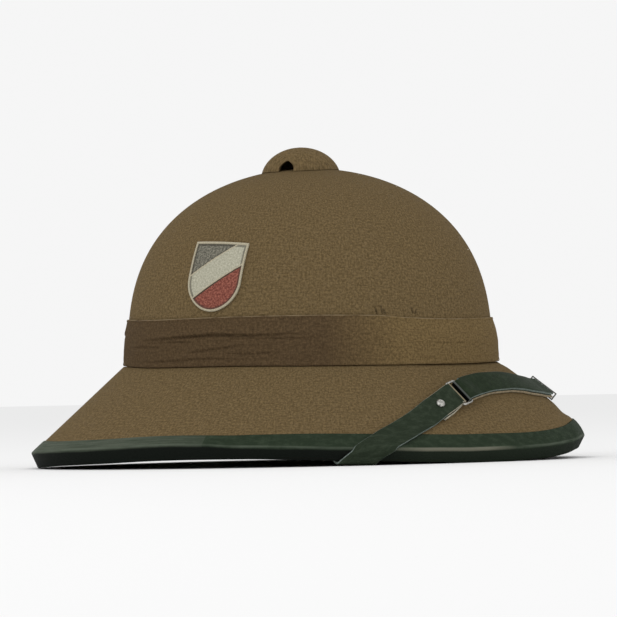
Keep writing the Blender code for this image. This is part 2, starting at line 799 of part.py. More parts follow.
def rim_skew(way, place):
    """How far a section of the strap is skewed: fully at the rim, not at all well up the brim."""
    clear = 0.30 * (CROWN_SPRING ** 2 + ((RIM_WIDTH - CROWN_WIDTH) / 2) ** 2) ** 0.5
    return 1.0 - ease((-way.along(place) - clear / 2) / clear)


def fold(frame):
    """Rows that come in flat above one of the loop's bars, round it and out below it."""
    bar = -LOOP_SPAN / 2
    steps = 6
    turns = [math.pi * i / steps for i in range(steps + 1)]
    rows = [flat_row(frame, bar + FOLD_RADIUS * math.sin(turn), FOLD_RADIUS * math.cos(turn))
            for turn in turns]
    return ([flat_row(frame, bar - FOLD_RADIUS, FOLD_RADIUS)] + rows
            + [flat_row(frame, bar - FOLD_RADIUS, -FOLD_RADIUS)])


def strap_object(name, rows):
    strap = add_object(name, grid_mesh(name, rows), STRAP_LEATHER)
    solidify(strap, STRAP_THICK, 0.0)
    return strap


# Heights of a layer's middle above the skin
LOW_LAYER = CLEARANCE + STRAP_THICK / 2
NEXT_LAYER = STRAP_THICK + CLEARANCE
FOLD_RADIUS = LOOP_WIRE / 2 + CLEARANCE + STRAP_THICK / 2
SLIDE_FLOOR = CLEARANCE + SLIDE_SHEET


def under_lift(way, place):
    """Room for the strap under the brim, where it isn't pressed to the skin."""
    return LOW_LAYER + STRAP_SLACK * ease(way.along(place) / BINDING_UNDER)


def make_short_strap():
    """The wearer's right strap: round the rim, up to the loop, round its bar and back under itself."""
    way = Way(SHORT_WAY)
    frame = frame_on(way, way.length, LOW_LAYER + FOLD_RADIUS)
    flat_start = way.length - LOOP_SPAN / 2 - FOLD_RADIUS
    tail_end = way.length - LOOP_SPAN / 2 - FOLD_TAIL
    rivet_place = way.length - LOOP_SPAN / 2 - RIVET_BACK
    rows = []
    for place in bends(way, 0.0, rivet_place - RIVET_HEAD):
        over_tail = NEXT_LAYER * ease((place - tail_end + STRAP_LIFT) / STRAP_LIFT)
        rows.append(way.row(place, under_lift(way, place) + over_tail, rim_skew(way, place)))
    rise_start = rivet_place + RIVET_HEAD * 0.6
    for share in (0.0, 0.33, 0.67):
        place = rise_start + (flat_start - rise_start) * share
        over_bar = (2 * FOLD_RADIUS - NEXT_LAYER) * ease(share)
        rows.append(way.row(place, LOW_LAYER + NEXT_LAYER + over_bar))
    rows += fold(frame)
    steps = 4
    for i in range(1, steps + 1):
        place = flat_start + (tail_end - flat_start) * i / steps
        rows.append(way.row(place, LOW_LAYER))
    strap = strap_object("strap_short", rows)
    make_stud("strap_stud_right", strap, way)
    make_rivet(strap, way, rivet_place)
    return frame


def make_long_strap(frame):
    """The wearer's left strap: round the rim, across the front, round the loop's other bar and back."""
    way = Way(LONG_WAY)
    flat_start = way.length - LOOP_SPAN / 2 - FOLD_RADIUS
    slide_place = way.find(SLIDE_BEARING)
    slide = frame_on(way, slide_place, 0.0)
    slide_low = SLIDE_FLOOR + LOW_LAYER
    half = SLIDE_LENGTH / 2 + STRAP_THICK
    rows = []
    for place in bends(way, 0.0, slide_place - half - STRAP_STEP / 2):
        climb = ease((place - slide_place + half + 2 * STRAP_LIFT) / (2 * STRAP_LIFT))
        top = under_lift(way, place) + (slide_low + NEXT_LAYER - LOW_LAYER) * climb
        rows.append(way.row(place, top, rim_skew(way, place)))
    rows += [flat_row(slide, x, slide_low + NEXT_LAYER) for x in (-half, half)]
    after_slide = slide_place + half + STRAP_STEP / 2
    for place in bends(way, after_slide, flat_start - STRAP_STEP):
        settle = SLIDE_FLOOR * (1 - ease((place - slide_place - half) / STRAP_LIFT))
        over_bar = (2 * FOLD_RADIUS - NEXT_LAYER) * ease((place - flat_start + STRAP_LIFT) / STRAP_LIFT)
        rows.append(way.row(place, LOW_LAYER + NEXT_LAYER + settle + over_bar))
    rows += fold(frame @ Matrix.Rotation(math.pi, 4, "Z"))
    for place in reversed(bends(way, after_slide, flat_start - STRAP_STEP / 2)):
        settle = SLIDE_FLOOR * (1 - ease((place - slide_place - half) / STRAP_LIFT))
        rows.append(way.row(place, LOW_LAYER + settle))
    rows += [flat_row(slide, x, slide_low) for x in (half, -half - END_PAST_SLIDE)]
    strap = strap_object("strap_long", rows)
    make_stud("strap_stud_left", strap, way)
    return slide, slide_low


def make_stud(name, strap, way):
    """The stud that holds a strap's end to the crown's inner wall, through a hole in it."""
    frame = frame_on(way, STUD_INSET, 0.0)
    shank, head = STUD_SHANK / 2, STUD_HEAD / 2
    seat = LOW_LAYER + STRAP_SLACK + STRAP_THICK / 2 + CLEARANCE + HEAD_SEAT
    profile = [(0.0, seat + STUD_CAP), (head * 0.8, seat + STUD_CAP), (head, seat + STUD_CAP / 2),
               (head, seat), (shank, seat), (shank, 2 * CLEARANCE), (0.0, 2 * CLEARANCE)]
    turned_piece(name, profile, frame, STEEL, 14)
    hole = frame @ Matrix.Translation((0.0, 0.0, seat / 2))
    cut(strap, cylinder_cutter(name + "_hole", shank + CLEARANCE, seat, hole))


def make_rivet(strap, way, place):
    """The domed rivet through both layers of the short strap."""
    frame = frame_on(way, place, 0.0)
    shank, head = RIVET_SHANK / 2, RIVET_HEAD / 2
    seat = LOW_LAYER + NEXT_LAYER + STRAP_THICK / 2 + CLEARANCE + HEAD_SEAT
    profile = [(head * math.sin(math.pi / 2 * i / 4), seat + RIVET_DOME * math.cos(math.pi / 2 * i / 4))
               for i in range(5)]
    profile += [(shank, seat), (shank, CLEARANCE), (0.0, CLEARANCE)]
    turned_piece("strap_rivet", profile, frame, STEEL, 14)
    hole = frame @ Matrix.Translation((0.0, 0.0, seat / 2))
    cut(strap, cylinder_cutter("strap_rivet_hole", shank + CLEARANCE, seat, hole))


def make_loop(frame):
    """The wire loop that joins the two straps."""
    half_x = LOOP_SPAN / 2
    half_y = STRAP_WIDTH / 2 + LOOP_ROOM + LOOP_WIRE / 2
    corner = LOOP_WIRE
    points = []
    for i, (x, y) in enumerate(((half_x, half_y), (-half_x, half_y), (-half_x, -half_y), (half_x, -half_y))):
        centre_x, centre_y = x - math.copysign(corner, x), y - math.copysign(corner, y)
        for step in range(4):
            swing = math.pi / 2 * (i + step / 3)
            points.append((centre_x + corner * math.cos(swing), centre_y + corner * math.sin(swing), 0.0))
    curve = bpy.data.curves.new("strap_loop", "CURVE")
    curve.dimensions = "3D"
    curve.bevel_depth = LOOP_WIRE / 2
    curve.bevel_resolution = 2
    spline = curve.splines.new("POLY")
    spline.points.add(len(points) - 1)
    for made, point in zip(spline.points, points):
        made.co = (*point, 1.0)
    spline.use_cyclic_u = True
    loop = bpy.data.objects.new("strap_loop", curve)
    curve.materials.append(STEEL)
    loop.matrix_world = frame
    HELMET.objects.link(loop)


def make_slide(frame, slide_low):
    """The sheet-metal slide round both layers of the long strap."""
    top = slide_low + NEXT_LAYER + STRAP_THICK / 2 + CLEARANCE + SLIDE_SHEET
    upper = STRAP_WIDTH / 2 + CLEARANCE
    lower = STRAP_WIDTH / 2 + SLIDE_ROOM
    low_y, high_y = (-lower, upper) if frame.to_3x3().col[1].z > 0 else (-upper, lower)
    outside = box_mesh("strap_slide", (-SLIDE_LENGTH / 2, low_y - SLIDE_SHEET, CLEARANCE),
                       (SLIDE_LENGTH / 2, high_y + SLIDE_SHEET, top))
    slide = add_object("strap_slide", outside, STEEL, smooth=0)
    slide.matrix_world = frame
    edge = slide.modifiers.new("edge", "BEVEL")
    edge.width = SLIDE_SHEET * 0.4
    edge.segments = 2
    room = box_mesh("slide_room", (-SLIDE_LENGTH, low_y, SLIDE_FLOOR), (SLIDE_LENGTH, high_y, top - SLIDE_SHEET))
    cutter = bpy.data.objects.new("slide_room", room)
    cutter.matrix_world = frame
    cut(slide, cutter)


def box_mesh(name, low, high):
    shape = bmesh.new()
    bmesh.ops.create_cube(shape, size=1.0)
    for vert in shape.verts:
        vert.co = Vector([low[i] + (high[i] - low[i]) * (vert.co[i] + 0.5) for i in range(3)])
    mesh = bpy.data.meshes.new(name)
    shape.to_mesh(mesh)
    shape.free()
    return mesh


# Badge

def badge_half_width(y):
    """Half the badge's width at a height above its middle."""
    shoulder = BADGE_HEIGHT / 2 - BADGE_SHOULDER * BADGE_HEIGHT * 1.33
    if y >= shoulder:
        return BADGE_WIDTH / 2
    down = min((shoulder - y) / (shoulder + BADGE_HEIGHT / 2), 1.0)
    return BADGE_WIDTH / 2 * (1 - down ** 1.9) ** (1 / 1.9)


def badge_outline():
    """The badge's outline, clockwise from its top's left end."""
    top = BADGE_HEIGHT / 2
    half = BADGE_WIDTH / 2
    shoulder = top - BADGE_SHOULDER * BADGE_HEIGHT * 1.33
    outline = [Vector((half * share, top)) for share in (-1.0, -0.5, 0.0, 0.5, 1.0)]
    right = [Vector((half, shoulder + (top - shoulder) * share)) for share in (0.66, 0.33, 0.0)]
    for i in range(1, 7):
        y = shoulder - (shoulder + top) * math.sin(math.pi / 2 * i / 6)
        right.append(Vector((badge_half_width(y), y)))
    left = [Vector((-point.x, point.y)) for point in right[-2::-1]]
    return outline + right + left


def shrunk(outline, inset):
    """A closed outline moved inwards."""
    moved = []
    count = len(outline)
    for i, point in enumerate(outline):
        before = (point - outline[i - 1]).normalized()
        after = (outline[(i + 1) % count] - point).normalized()
        if before.dot(after) > 0.9999:
            moved.append(point - left_of(before) * inset)
        else:
            moved.append(meet(point - left_of(before) * inset, before,
                              point - left_of(after) * inset, after))
    return moved


class BadgePlace:
    """Where the badge lies on the crown, which it is bent to follow."""

    def __init__(self):
        height = CROWN_SPRING + BADGE_CENTRE
        self.middle = crown_point(BADGE_BEARING, height)
        self.normal = crown_normal(self.middle)
        upward = Vector((0.0, 0.0, 1.0)) - self.normal * self.normal.z
        lean = Matrix.Rotation(-math.radians(BADGE_LEAN), 3, self.normal)
        self.up = lean @ upward.normalized()
        self.side = self.up.cross(self.normal)

    def point(self, flat, height):
        """A point over the crown, given its place on the badge's face."""
        on_crown = onto_crown(self.middle + self.side * flat.x + self.up * flat.y, self.normal)
        return on_crown + crown_normal(on_crown) * (CLEARANCE + height)


def make_badge():
    """The shield badge: a bent sheet with a raised border and two slanting ridges."""
    place = BadgePlace()
    outline = badge_outline()
    middle = shrunk(outline, BADGE_BORDER / 2)
    inner = shrunk(outline, BADGE_BORDER)
    relief = BADGE_PLATE + BADGE_RELIEF
    border = [[place.point(out, 0.0), place.point(out, relief), place.point(into, relief),
               place.point(into, 0.0)] for out, into in zip(outline, inner)]
    badge = add_object("badge", grid_mesh("badge", border, wrap_rows=True, wrap_columns=True), BADGE_METAL)
    shape = bmesh.new()
    levels = []
    for height in (BADGE_PLATE, BADGE_PLATE * 0.1):
        rings = [[shape.verts.new(place.point(point * share, height)) for point in middle]
                 for share in (1.0, 0.66, 0.33)]
        centre = shape.verts.new(place.point(Vector((0.0, 0.0)), height))
        for outer_ring, inner_ring in zip(rings, rings[1:]):
            for j in range(len(middle)):
                k = (j + 1) % len(middle)
                shape.faces.new((outer_ring[j], outer_ring[k], inner_ring[k], inner_ring[j]))
        for j in range(len(middle)):
            shape.faces.new((rings[-1][j], rings[-1][(j + 1) % len(middle)], centre))
        levels.append(rings[0])
    for j in range(len(middle)):
        k = (j + 1) % len(middle)
        shape.faces.new((levels[0][j], levels[0][k], levels[1][k], levels[1][j]))
    bmesh.ops.recalc_face_normals(shape, faces=shape.faces)
    sheet = bpy.data.meshes.new("badge_sheet")
    shape.to_mesh(sheet)
    shape.free()
    join(badge, bpy.data.objects.new("badge_sheet", sheet))
    slant = Vector((math.cos(math.radians(BADGE_SLANT)), math.sin(math.radians(BADGE_SLANT))))
    for i, share in enumerate(BADGE_BANDS):
        ends = ridge_ends(Vector((0.0, share * BADGE_HEIGHT)), slant, middle)
        ridge = []
        for step in range(7):
            point = ends[0].lerp(ends[1], step / 6)
            edges = [point + left_of(slant) * BADGE_RIDGE / 2 * sign for sign in (1, -1)]
            ridge.append([place.point(edges[0], BADGE_PLATE / 2), place.point(edges[0], relief * 0.93),
                          place.point(edges[1], relief * 0.93), place.point(edges[1], BADGE_PLATE / 2)])
        mesh = capped_loft("badge_ridge_%d" % (i + 1), ridge)
        join(badge, bpy.data.objects.new(mesh.name, mesh))


def ridge_ends(point, slant, outline):
    """Where a line through a point crosses an outline."""
    crossings = []
    for i, corner in enumerate(outline):
        following = outline[(i + 1) % len(outline)]
        edge = following - corner
        across = edge.dot(left_of(slant))
        if abs(across) > 1e-9:
            share = (point - corner).dot(left_of(slant)) / across
            if 0.0 <= share < 1.0:
                crossings.append(corner + edge * share)
    return sorted(crossings, key=lambda crossing: crossing.dot(slant))


def capped_loft(name, loops):
    """A solid lofted through closed loops of four points, with a face on each end."""
    shape = bmesh.new()
    made = [[shape.verts.new(point) for point in loop] for loop in loops]
    for row, following in zip(made, made[1:]):
        for j in range(4):
            k = (j + 1) % 4
            shape.faces.new((row[j], row[k], following[k], following[j]))
    shape.faces.new(made[0])
    shape.faces.new(made[-1])
    bmesh.ops.recalc_face_normals(shape, faces=shape.faces)
    mesh = bpy.data.meshes.new(name)
    shape.to_mesh(mesh)
    shape.free()
    return mesh


def join(target, addition):
    """Join a shape to the target. The shape goes to the cutters' collection."""
    cut(target, addition)
    target.modifiers[-1].operation = "UNION"


for leftover in list(bpy.data.objects):
    bpy.data.objects.remove(leftover, do_unlink=True)

HELMET = collection("pith_helmet")
CUTTERS = collection("cutters")
CANVAS = material("canvas", (0.145, 0.103, 0.049), 0.95)
BAND_CLOTH = material("band_cloth", (0.120, 0.083, 0.040), 0.95)
LEATHER = material("green_leather", (0.030, 0.041, 0.026), 0.5)
STRAP_LEATHER = material("strap_leather", (0.027, 0.038, 0.026), 0.45)
STEEL = material("nickel_plate", (0.60, 0.58, 0.55), 0.3, 1.0)
BADGE_METAL = material("badge_metal", (0.42, 0.39, 0.33), 0.4, 0.8)

make_crown()
make_brim()
make_binding()
make_band()
make_vent_cap()
loop_frame = make_short_strap()
slide_frame, slide_layer = make_long_strap(loop_frame)
make_loop(loop_frame)
make_slide(slide_frame, slide_layer)
make_badge()
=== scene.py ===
"""The pith helmet's looks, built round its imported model.

Metres, +Z up, +X to the helmet's front and -Y to the wearer's right. A bearing is an angle in plan,
in degrees from the front, counted positive towards the wearer's right.
"""

import math

import bmesh
import bpy
import numpy as np
from mathutils import Matrix, Vector


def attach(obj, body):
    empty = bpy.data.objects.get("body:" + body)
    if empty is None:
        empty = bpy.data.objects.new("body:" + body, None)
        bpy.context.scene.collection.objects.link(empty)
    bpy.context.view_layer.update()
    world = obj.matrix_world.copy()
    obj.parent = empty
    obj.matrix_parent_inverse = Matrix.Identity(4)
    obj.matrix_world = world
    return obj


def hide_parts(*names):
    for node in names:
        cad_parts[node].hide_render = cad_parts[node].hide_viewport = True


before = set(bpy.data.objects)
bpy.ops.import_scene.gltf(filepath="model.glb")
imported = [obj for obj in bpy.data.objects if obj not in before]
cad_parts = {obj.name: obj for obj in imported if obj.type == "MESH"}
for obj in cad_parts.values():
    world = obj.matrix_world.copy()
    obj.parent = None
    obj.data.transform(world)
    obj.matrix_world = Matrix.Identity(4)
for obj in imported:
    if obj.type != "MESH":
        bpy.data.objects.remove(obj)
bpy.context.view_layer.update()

# Camera, as the photograph was taken
CAMERA_PLACE = Vector((0.0, -2.2, 0.040))
CAMERA_TARGET = Vector((0.0021, 0.0, 0.0955))
CAMERA_ROLL = math.radians(1.2)
VIEW_WIDTH = 0.3825         # seen across the picture at the helmet's middle

# Crown, brim and what parts them
RIM_LENGTH = 0.3424         # front to back over the leather rim
RIM_WIDTH = 0.275           # side to side over the leather rim
CROWN_LENGTH = 0.226        # outside the dome, at its foot
CROWN_WIDTH = 0.192
CROWN_AHEAD = 0.0026        # the crown's middle lies this far ahead of the rim's
CROWN_SPRING = 0.0592       # height at which the dome starts to curve in
CROWN_RISE = 0.123          # from there to the top of the dome
CROWN_FULLNESS = 2.8        # exponent of the dome's side profile, where 2 is an ellipse
CROWN_UPRIGHT = 0.11        # share of the dome's height that is as good as upright
CROWN_WALL = 0.005          # cork with its canvas
VENT_HOLE = 0.018           # length of the hole in the top of the dome
BRIM_FOOT = 0.0618          # height at which the brim leaves the crown, at front and back
FOOT_DIP = 0.0034           # how much lower it does so at the sides
BRIM_LAND = 0.0026          # level ledge of the brim outside the crown's foot
BRIM_KNEE = 0.002           # height of the brim's inner face
PEAK_SWELL = 0.003          # the most that the canvas swells across the brim's front
CLEARANCE = 0.0003          # between pieces that touch on the real helmet
SKIN_CUTS = 8               # straight stretches that stand for the brim's slope under the strap

# Leather rim binding
RIM_ARCH = 0.005            # how high the rim's underside arches at the sides
EDGE_DEPTH = 0.009          # height of the bound edge
EDGE_TUCK = 0.0046          # how far its lower corner lies inside its upper one
EDGE_ROUND = 0.0014         # radius of both corners
ROUND_COUNT = 2             # straight stretches that stand for each rounded corner
BINDING_LEG = 0.011         # how far the leather reaches over the brim
BINDING_UNDER = 0.010       # and under it
BINDING_THICK = 0.0014
BINDING_PROUD = 0.0006      # the leather stands this far above the canvas

# Bearing, then shares of RIM_ARCH, EDGE_DEPTH and BINDING_LEG
RIM_TABLE = (
    (0, 1.16, 0.89, 1.10), (10, 1.05, 0.86, 1.05), (20, 0.60, 0.86, 0.99), (32, 0.18, 0.88, 1.00),
    (44, 0.00, 0.89, 1.06), (54, 0.00, 0.87, 1.08), (64, 0.18, 0.82, 1.08), (76, 0.44, 0.80, 1.05),
    (85, 0.62, 0.81, 1.02), (95, 0.88, 0.78, 0.95), (104, 1.00, 0.82, 0.84), (112, 1.02, 0.98, 0.72),
    (122, 0.96, 1.02, 0.74), (137, 0.68, 1.00, 0.78), (154, 0.42, 1.02, 0.82), (167, 0.18, 1.07, 0.92),
    (180, 0.00, 1.07, 1.02),
)

# Share of the slope at the front, from the brim's ledge to its rim, then share of PEAK_SWELL
PEAK_TABLE = (
    (0.00, 0.00), (0.10, 0.42), (0.20, 0.62), (0.33, 0.78), (0.44, 0.91), (0.54, 1.05),
    (0.61, 1.05), (0.69, 0.84), (0.73, 0.77), (0.76, 0.88), (0.80, 1.06), (0.84, 1.05),
    (0.87, 0.95), (0.92, 0.73), (0.96, 0.44), (1.00, 0.00),
)

# Cloth band
BAND_HEIGHT = 0.028         # from the brim's foot at the front to the band's upper edge
BAND_BULK = 0.003           # the most that its layers stand off the crown

# Bearing, then shares of FOOT_DIP and BAND_HEIGHT
FOOT_TABLE = (
    (0, 0.48, 0.93), (20, 0.76, 0.90), (42, 0.97, 0.87), (58, 1.00, 0.90),
    (70, 0.98, 0.96), (92, 0.90, 0.985), (112, 0.68, 0.99), (142, 0.62, 0.98),
    (180, 0.00, 1.035),
)

# Share of the band's height, then shares of BAND_BULK at the back and at the front
BAND_PROFILE = (
    (0.00, 0.86, 1.22), (0.14, 0.90, 1.24), (0.30, 0.84, 1.18), (0.45, 0.80, 1.20),
    (0.59, 0.72, 1.10), (0.74, 0.64, 0.92), (0.88, 0.46, 0.60), (1.00, 0.34, 0.36),
)

# Ventilator cap
CAP_RADIUS = 0.0248         # of the dome that it is cut from, at its middle
CAP_SEMI = 0.020            # that dome's half height
CAP_TOP = 0.0133            # its top above the crown's
CAP_WALL = 0.0018
CAP_BEHIND = 0.0035         # its middle lies this far behind the crown's
ARCH_COUNT = 2
ARCH_WIDTH = 0.0098
ARCH_HEIGHT = 0.0072
ARCH_BEARING = 112.5        # bearing of the opening at the wearer's right

# Chin strap
STRAP_WIDTH = 0.015
STRAP_THICK = 0.0014
STRAP_STEP = 0.0055         # between the strap's sections
STRAP_REACH = STRAP_STEP / 8    # either side of a place, to find the way's direction there
STRAP_RAMP = 0.005          # length over which it climbs onto the leather rim
STRAP_SLACK = 0.0005        # more room for it under the brim
KNEE_ROUND = 0.002          # its bend where the brim's underside meets the crown's inner wall
WALL_REACH = 0.030          # height of that wall within the strap's reach
STRAP_LIFT = 0.012          # length over which one layer climbs onto another
FOLD_TAIL = 0.0225          # fold-back of the short strap, behind the loop's bar
END_PAST_SLIDE = 0.003      # fold-back of the long strap, past the slide
LOOP_WIRE = 0.0015
LOOP_SPAN = 0.008           # between the middles of its two long bars
RIVET_BACK = 0.0165         # from the loop's bar to the rivet
RIVET_HEAD = 0.0056
SLIDE_LENGTH = 0.007        # along the strap
SLIDE_SHEET = 0.0007
SLIDE_BEARING = 1.5

# The strap's way over the skin: bearing, and share of the distance from the rim's crease up to the
# brim's ledge, less than 0 up the brim. Under the brim, where it is more than 0, the bound edge and
# the underside come to about 1.26 of that distance, and the rest is on the crown's inner wall.
RIM_WAY = (
    (95.5, 1.45), (95.5, 1.26), (94.0, 1.05), (91.3, 0.80), (88.0, 0.54), (84.2, 0.31), (80.4, 0.137),
    (76.9, 0.00),
)
SHORT_WAY = (*RIM_WAY, (72.0, -0.15), (65.0, -0.33), (58.2, -0.49), (53.1, -0.585), (50.0, -0.625))
LONG_WAY = (
    *((-bearing, share) for bearing, share in RIM_WAY),
    (-70.0, -0.18), (-60.0, -0.36), (-48.0, -0.49), (-34.0, -0.57), (-18.0, -0.58), (-6.0, -0.57),
    (1.5, -0.565), (8.0, -0.595), (15.0, -0.645), (22.0, -0.705), (29.0, -0.735), (36.0, -0.737),
    (42.0, -0.715), (47.0, -0.665), (50.0, -0.625),
)

# Badge
BADGE_WIDTH = 0.0356
BADGE_HEIGHT = 0.0433
BADGE_PLATE = 0.0008        # thickness of its sheet
BADGE_RELIEF = 0.0006       # height of its border above the sheet
BADGE_BORDER = 0.0012
BADGE_RIDGE = 0.0008
BADGE_SHOULDER = 0.43       # share of its height above which its sides are straight and upright
BADGE_BANDS = (0.28, -0.10) # where its ridges cross its middle line, as shares of its height
BADGE_SLANT = 36.5          # slope of the ridges, in degrees
BADGE_BEARING = 121.6       # of its middle
BADGE_CENTRE = 0.0548       # height of its middle above the spring of the dome
BADGE_LEAN = 4.0            # its top leans this far towards the front, in degrees


def curve_through(rows, column):
    """A smooth curve through one column of a table, with no overshoot between its rows."""
    places = np.array([row[0] for row in rows], float)
    values = np.array([row[column] for row in rows], float)
    steps = np.diff(places)
    slopes = np.diff(values) / steps
    tangents = np.zeros(len(places))
    for i in range(1, len(places) - 1):
        if slopes[i - 1] * slopes[i] > 0:
            tangents[i] = 2 * slopes[i - 1] * slopes[i] / (slopes[i - 1] + slopes[i])

    def value(place):
        i = int(np.clip(np.searchsorted(places, place) - 1, 0, len(steps) - 1))
        t = min(max((place - places[i]) / steps[i], 0.0), 1.0)
        bend = (1 + 2 * t) * (1 - t) ** 2 * values[i] + t * t * (3 - 2 * t) * values[i + 1]
        return bend + steps[i] * t * (1 - t) * ((1 - t) * tangents[i] - t * tangents[i + 1])

    return value


def both_sides(rows, column):
    """The same curve for bearings of either sign."""
    curve = curve_through(rows, column)
    return lambda bearing: curve(abs((bearing + 180.0) % 360.0 - 180.0))


rim_lift = both_sides(RIM_TABLE, 1)
rim_depth = both_sides(RIM_TABLE, 2)
rim_leg = both_sides(RIM_TABLE, 3)
foot_dip = both_sides(FOOT_TABLE, 1)
band_top = both_sides(FOOT_TABLE, 2)
peak_swell = curve_through(PEAK_TABLE, 1)
bulk_back = curve_through(BAND_PROFILE, 1)
bulk_front = curve_through(BAND_PROFILE, 2)


def foot_height(bearing):
    """Height at which the brim leaves the crown."""
    return BRIM_FOOT - FOOT_DIP * foot_dip(bearing)


def ease(share):
    """0 to 1, slow at both ends."""
    share = min(max(share, 0.0), 1.0)
    return share * share * (3 - 2 * share)


# Crown surface

def crown_climb(height):
    """A height as a share of the dome's rise."""
    return min(max((height - CROWN_SPRING) / CROWN_RISE, 0.0), 1.0)


def crown_spread(x, y):
    """0 in the middle of the crown's plan and 1 along its foot."""
    return ((x - CROWN_AHEAD) / (CROWN_LENGTH / 2)) ** 2 + (y / (CROWN_WIDTH / 2)) ** 2


def crown_point(bearing, height):
    """A point on the outside of the crown."""
    angle = math.radians(bearing)
    share = math.sqrt(max(1.0 - crown_climb(height) ** CROWN_FULLNESS, 0.0))
    return Vector((CROWN_AHEAD + CROWN_LENGTH / 2 * share * math.cos(angle),
                   -CROWN_WIDTH / 2 * share * math.sin(angle), height))


def crown_height(x, y):
    """Height of the crown's outside above a place in plan."""
    return CROWN_SPRING + CROWN_RISE * max(1.0 - crown_spread(x, y), 0.0) ** (1 / CROWN_FULLNESS)


def crown_slope(point):
    """Direction straight out of the crown at a point of its outside, of any length."""
    return Vector((2 * (point.x - CROWN_AHEAD) / (CROWN_LENGTH / 2) ** 2,
                   2 * point.y / (CROWN_WIDTH / 2) ** 2,
                   CROWN_FULLNESS * crown_climb(point.z) ** (CROWN_FULLNESS - 1) / CROWN_RISE))


def crown_normal(point):
    """The outward direction of the crown there, one unit long."""
    return crown_slope(point).normalized()


def onto_crown(point, direction):
    """Where a line through a point meets the crown's outside."""
    for _ in range(12):
        miss = crown_spread(point.x, point.y) + crown_climb(point.z) ** CROWN_FULLNESS - 1
        point = point - direction * (miss / crown_slope(point).dot(direction))
    return point


# Brim sections, drawn in the upright plane of a bearing as (out, up)

def left_of(direction):
    """The direction a quarter turn to the left, which points out of the material."""
    return Vector((-direction.y, direction.x))


def meet(point, direction, other, other_direction):
    """Where two lines of a section cross."""
    side = left_of(other_direction)
    return point + direction * ((other - point).dot(side) / direction.dot(side))


class Section:
    """The brim and its binding cut at one bearing."""

    def __init__(self, bearing):
        angle = math.radians(bearing)
        ledge_x = CROWN_LENGTH / 2 + BRIM_LAND
        ledge_y = CROWN_WIDTH / 2 + BRIM_LAND
        start = Vector((CROWN_AHEAD + ledge_x * math.cos(angle), -ledge_y * math.sin(angle)))
        rim = Vector((RIM_LENGTH / 2 * math.cos(angle), -RIM_WIDTH / 2 * math.sin(angle)))
        self.start = start
        self.out = (rim - start).normalized()
        self.front = max(math.cos(angle), 0.0) ** 6
        foot = foot_height(bearing)
        under = RIM_ARCH * rim_lift(bearing)
        depth = EDGE_DEPTH * rim_depth(bearing)
        self.leg = BINDING_LEG * rim_leg(bearing)
        self.ledge = Vector((0.0, foot))
        self.wall = Vector((-BRIM_LAND - CROWN_WALL, foot))
        self.knee = Vector((-BRIM_LAND - CROWN_WALL, foot - BRIM_KNEE))
        crease = Vector(((rim - start).length, under + depth))
        corner = Vector((crease.x - EDGE_TUCK, under))
        slope = (crease - self.ledge).normalized()
        canvas_end = crease - left_of(slope) * BINDING_PROUD
        self.slope = (canvas_end - self.ledge).normalized()
        self.canvas_end = canvas_end
        self.slope_length = (canvas_end - self.ledge).length
        self.crease = canvas_end + left_of(self.slope) * BINDING_PROUD
        self.set_corner(corner)
        edge_line = rounded((self.crease, corner, self.knee), (0, EDGE_ROUND, 0), ROUND_COUNT)
        lowest = min(point.y for point, normal in edge_line)
        self.set_corner(corner - Vector((0.0, lowest - under)))

    def set_corner(self, corner):
        """Set the lower corner of the bound edge, and the directions that follow from it."""
        self.corner = corner
        self.edge = (corner - self.crease).normalized()
        rise = (self.knee - corner).normalized()
        self.cork_end = corner - left_of(rise) * BINDING_PROUD
        self.rise = (self.knee - self.cork_end).normalized()

    def swell(self, share):
        """How far the canvas stands off a straight line from the ledge to the rim."""
        return PEAK_SWELL * self.front * peak_swell(share)

    def canvas(self, share):
        """A point of the canvas, from the ledge at 0 to the rim at 1."""
        along = self.ledge.lerp(self.canvas_end, share)
        return along + left_of(self.slope) * self.swell(share)

    def leather_corner(self, inset, first):
        """A corner of the binding's section, moved in by an inset: its upper one, or its lower one."""
        edge_point = self.corner - left_of(self.edge) * inset
        if first:
            upper = self.crease - left_of(self.slope) * inset
            return meet(upper, self.slope, edge_point, self.edge)
        lower = self.corner - left_of(self.rise) * inset
        return meet(lower, self.rise, edge_point, self.edge)

    def place(self, flat):
        """A point of the section in space."""
        plan = self.start + self.out * flat.x
        return Vector((plan.x, plan.y, flat.y))

    def turn(self, flat):
        """A direction of the section in space."""
        return Vector((self.out.x * flat.x, self.out.y * flat.x, flat.y))


def rounded(points, radii, cuts=4):
    """Points and outward normals along a line of corners, each with its own radius."""
    trail = []
    for i, point in enumerate(points):
        if i == 0 or i == len(points) - 1 or radii[i] == 0:
            if i > 0:
                trail.append((point, left_of((point - points[i - 1]).normalized())))
            if i < len(points) - 1:
                trail.append((point, left_of((points[i + 1] - point).normalized())))
            continue
        before = (point - points[i - 1]).normalized()
        after = (points[i + 1] - point).normalized()
        turn = math.atan2(before.x * after.y - before.y * after.x, before.dot(after))
        back = radii[i] * math.tan(abs(turn) / 2)
        middle = point - before * back - left_of(before) * math.copysign(radii[i], -turn)
        for step in range(cuts + 1):
            swing = turn * step / cuts
            normal = left_of(before)
            normal = Vector((normal.x * math.cos(swing) - normal.y * math.sin(swing),
                             normal.x * math.sin(swing) + normal.y * math.cos(swing)))
            trail.append((middle + normal * math.copysign(radii[i], -turn), normal))
    return trail


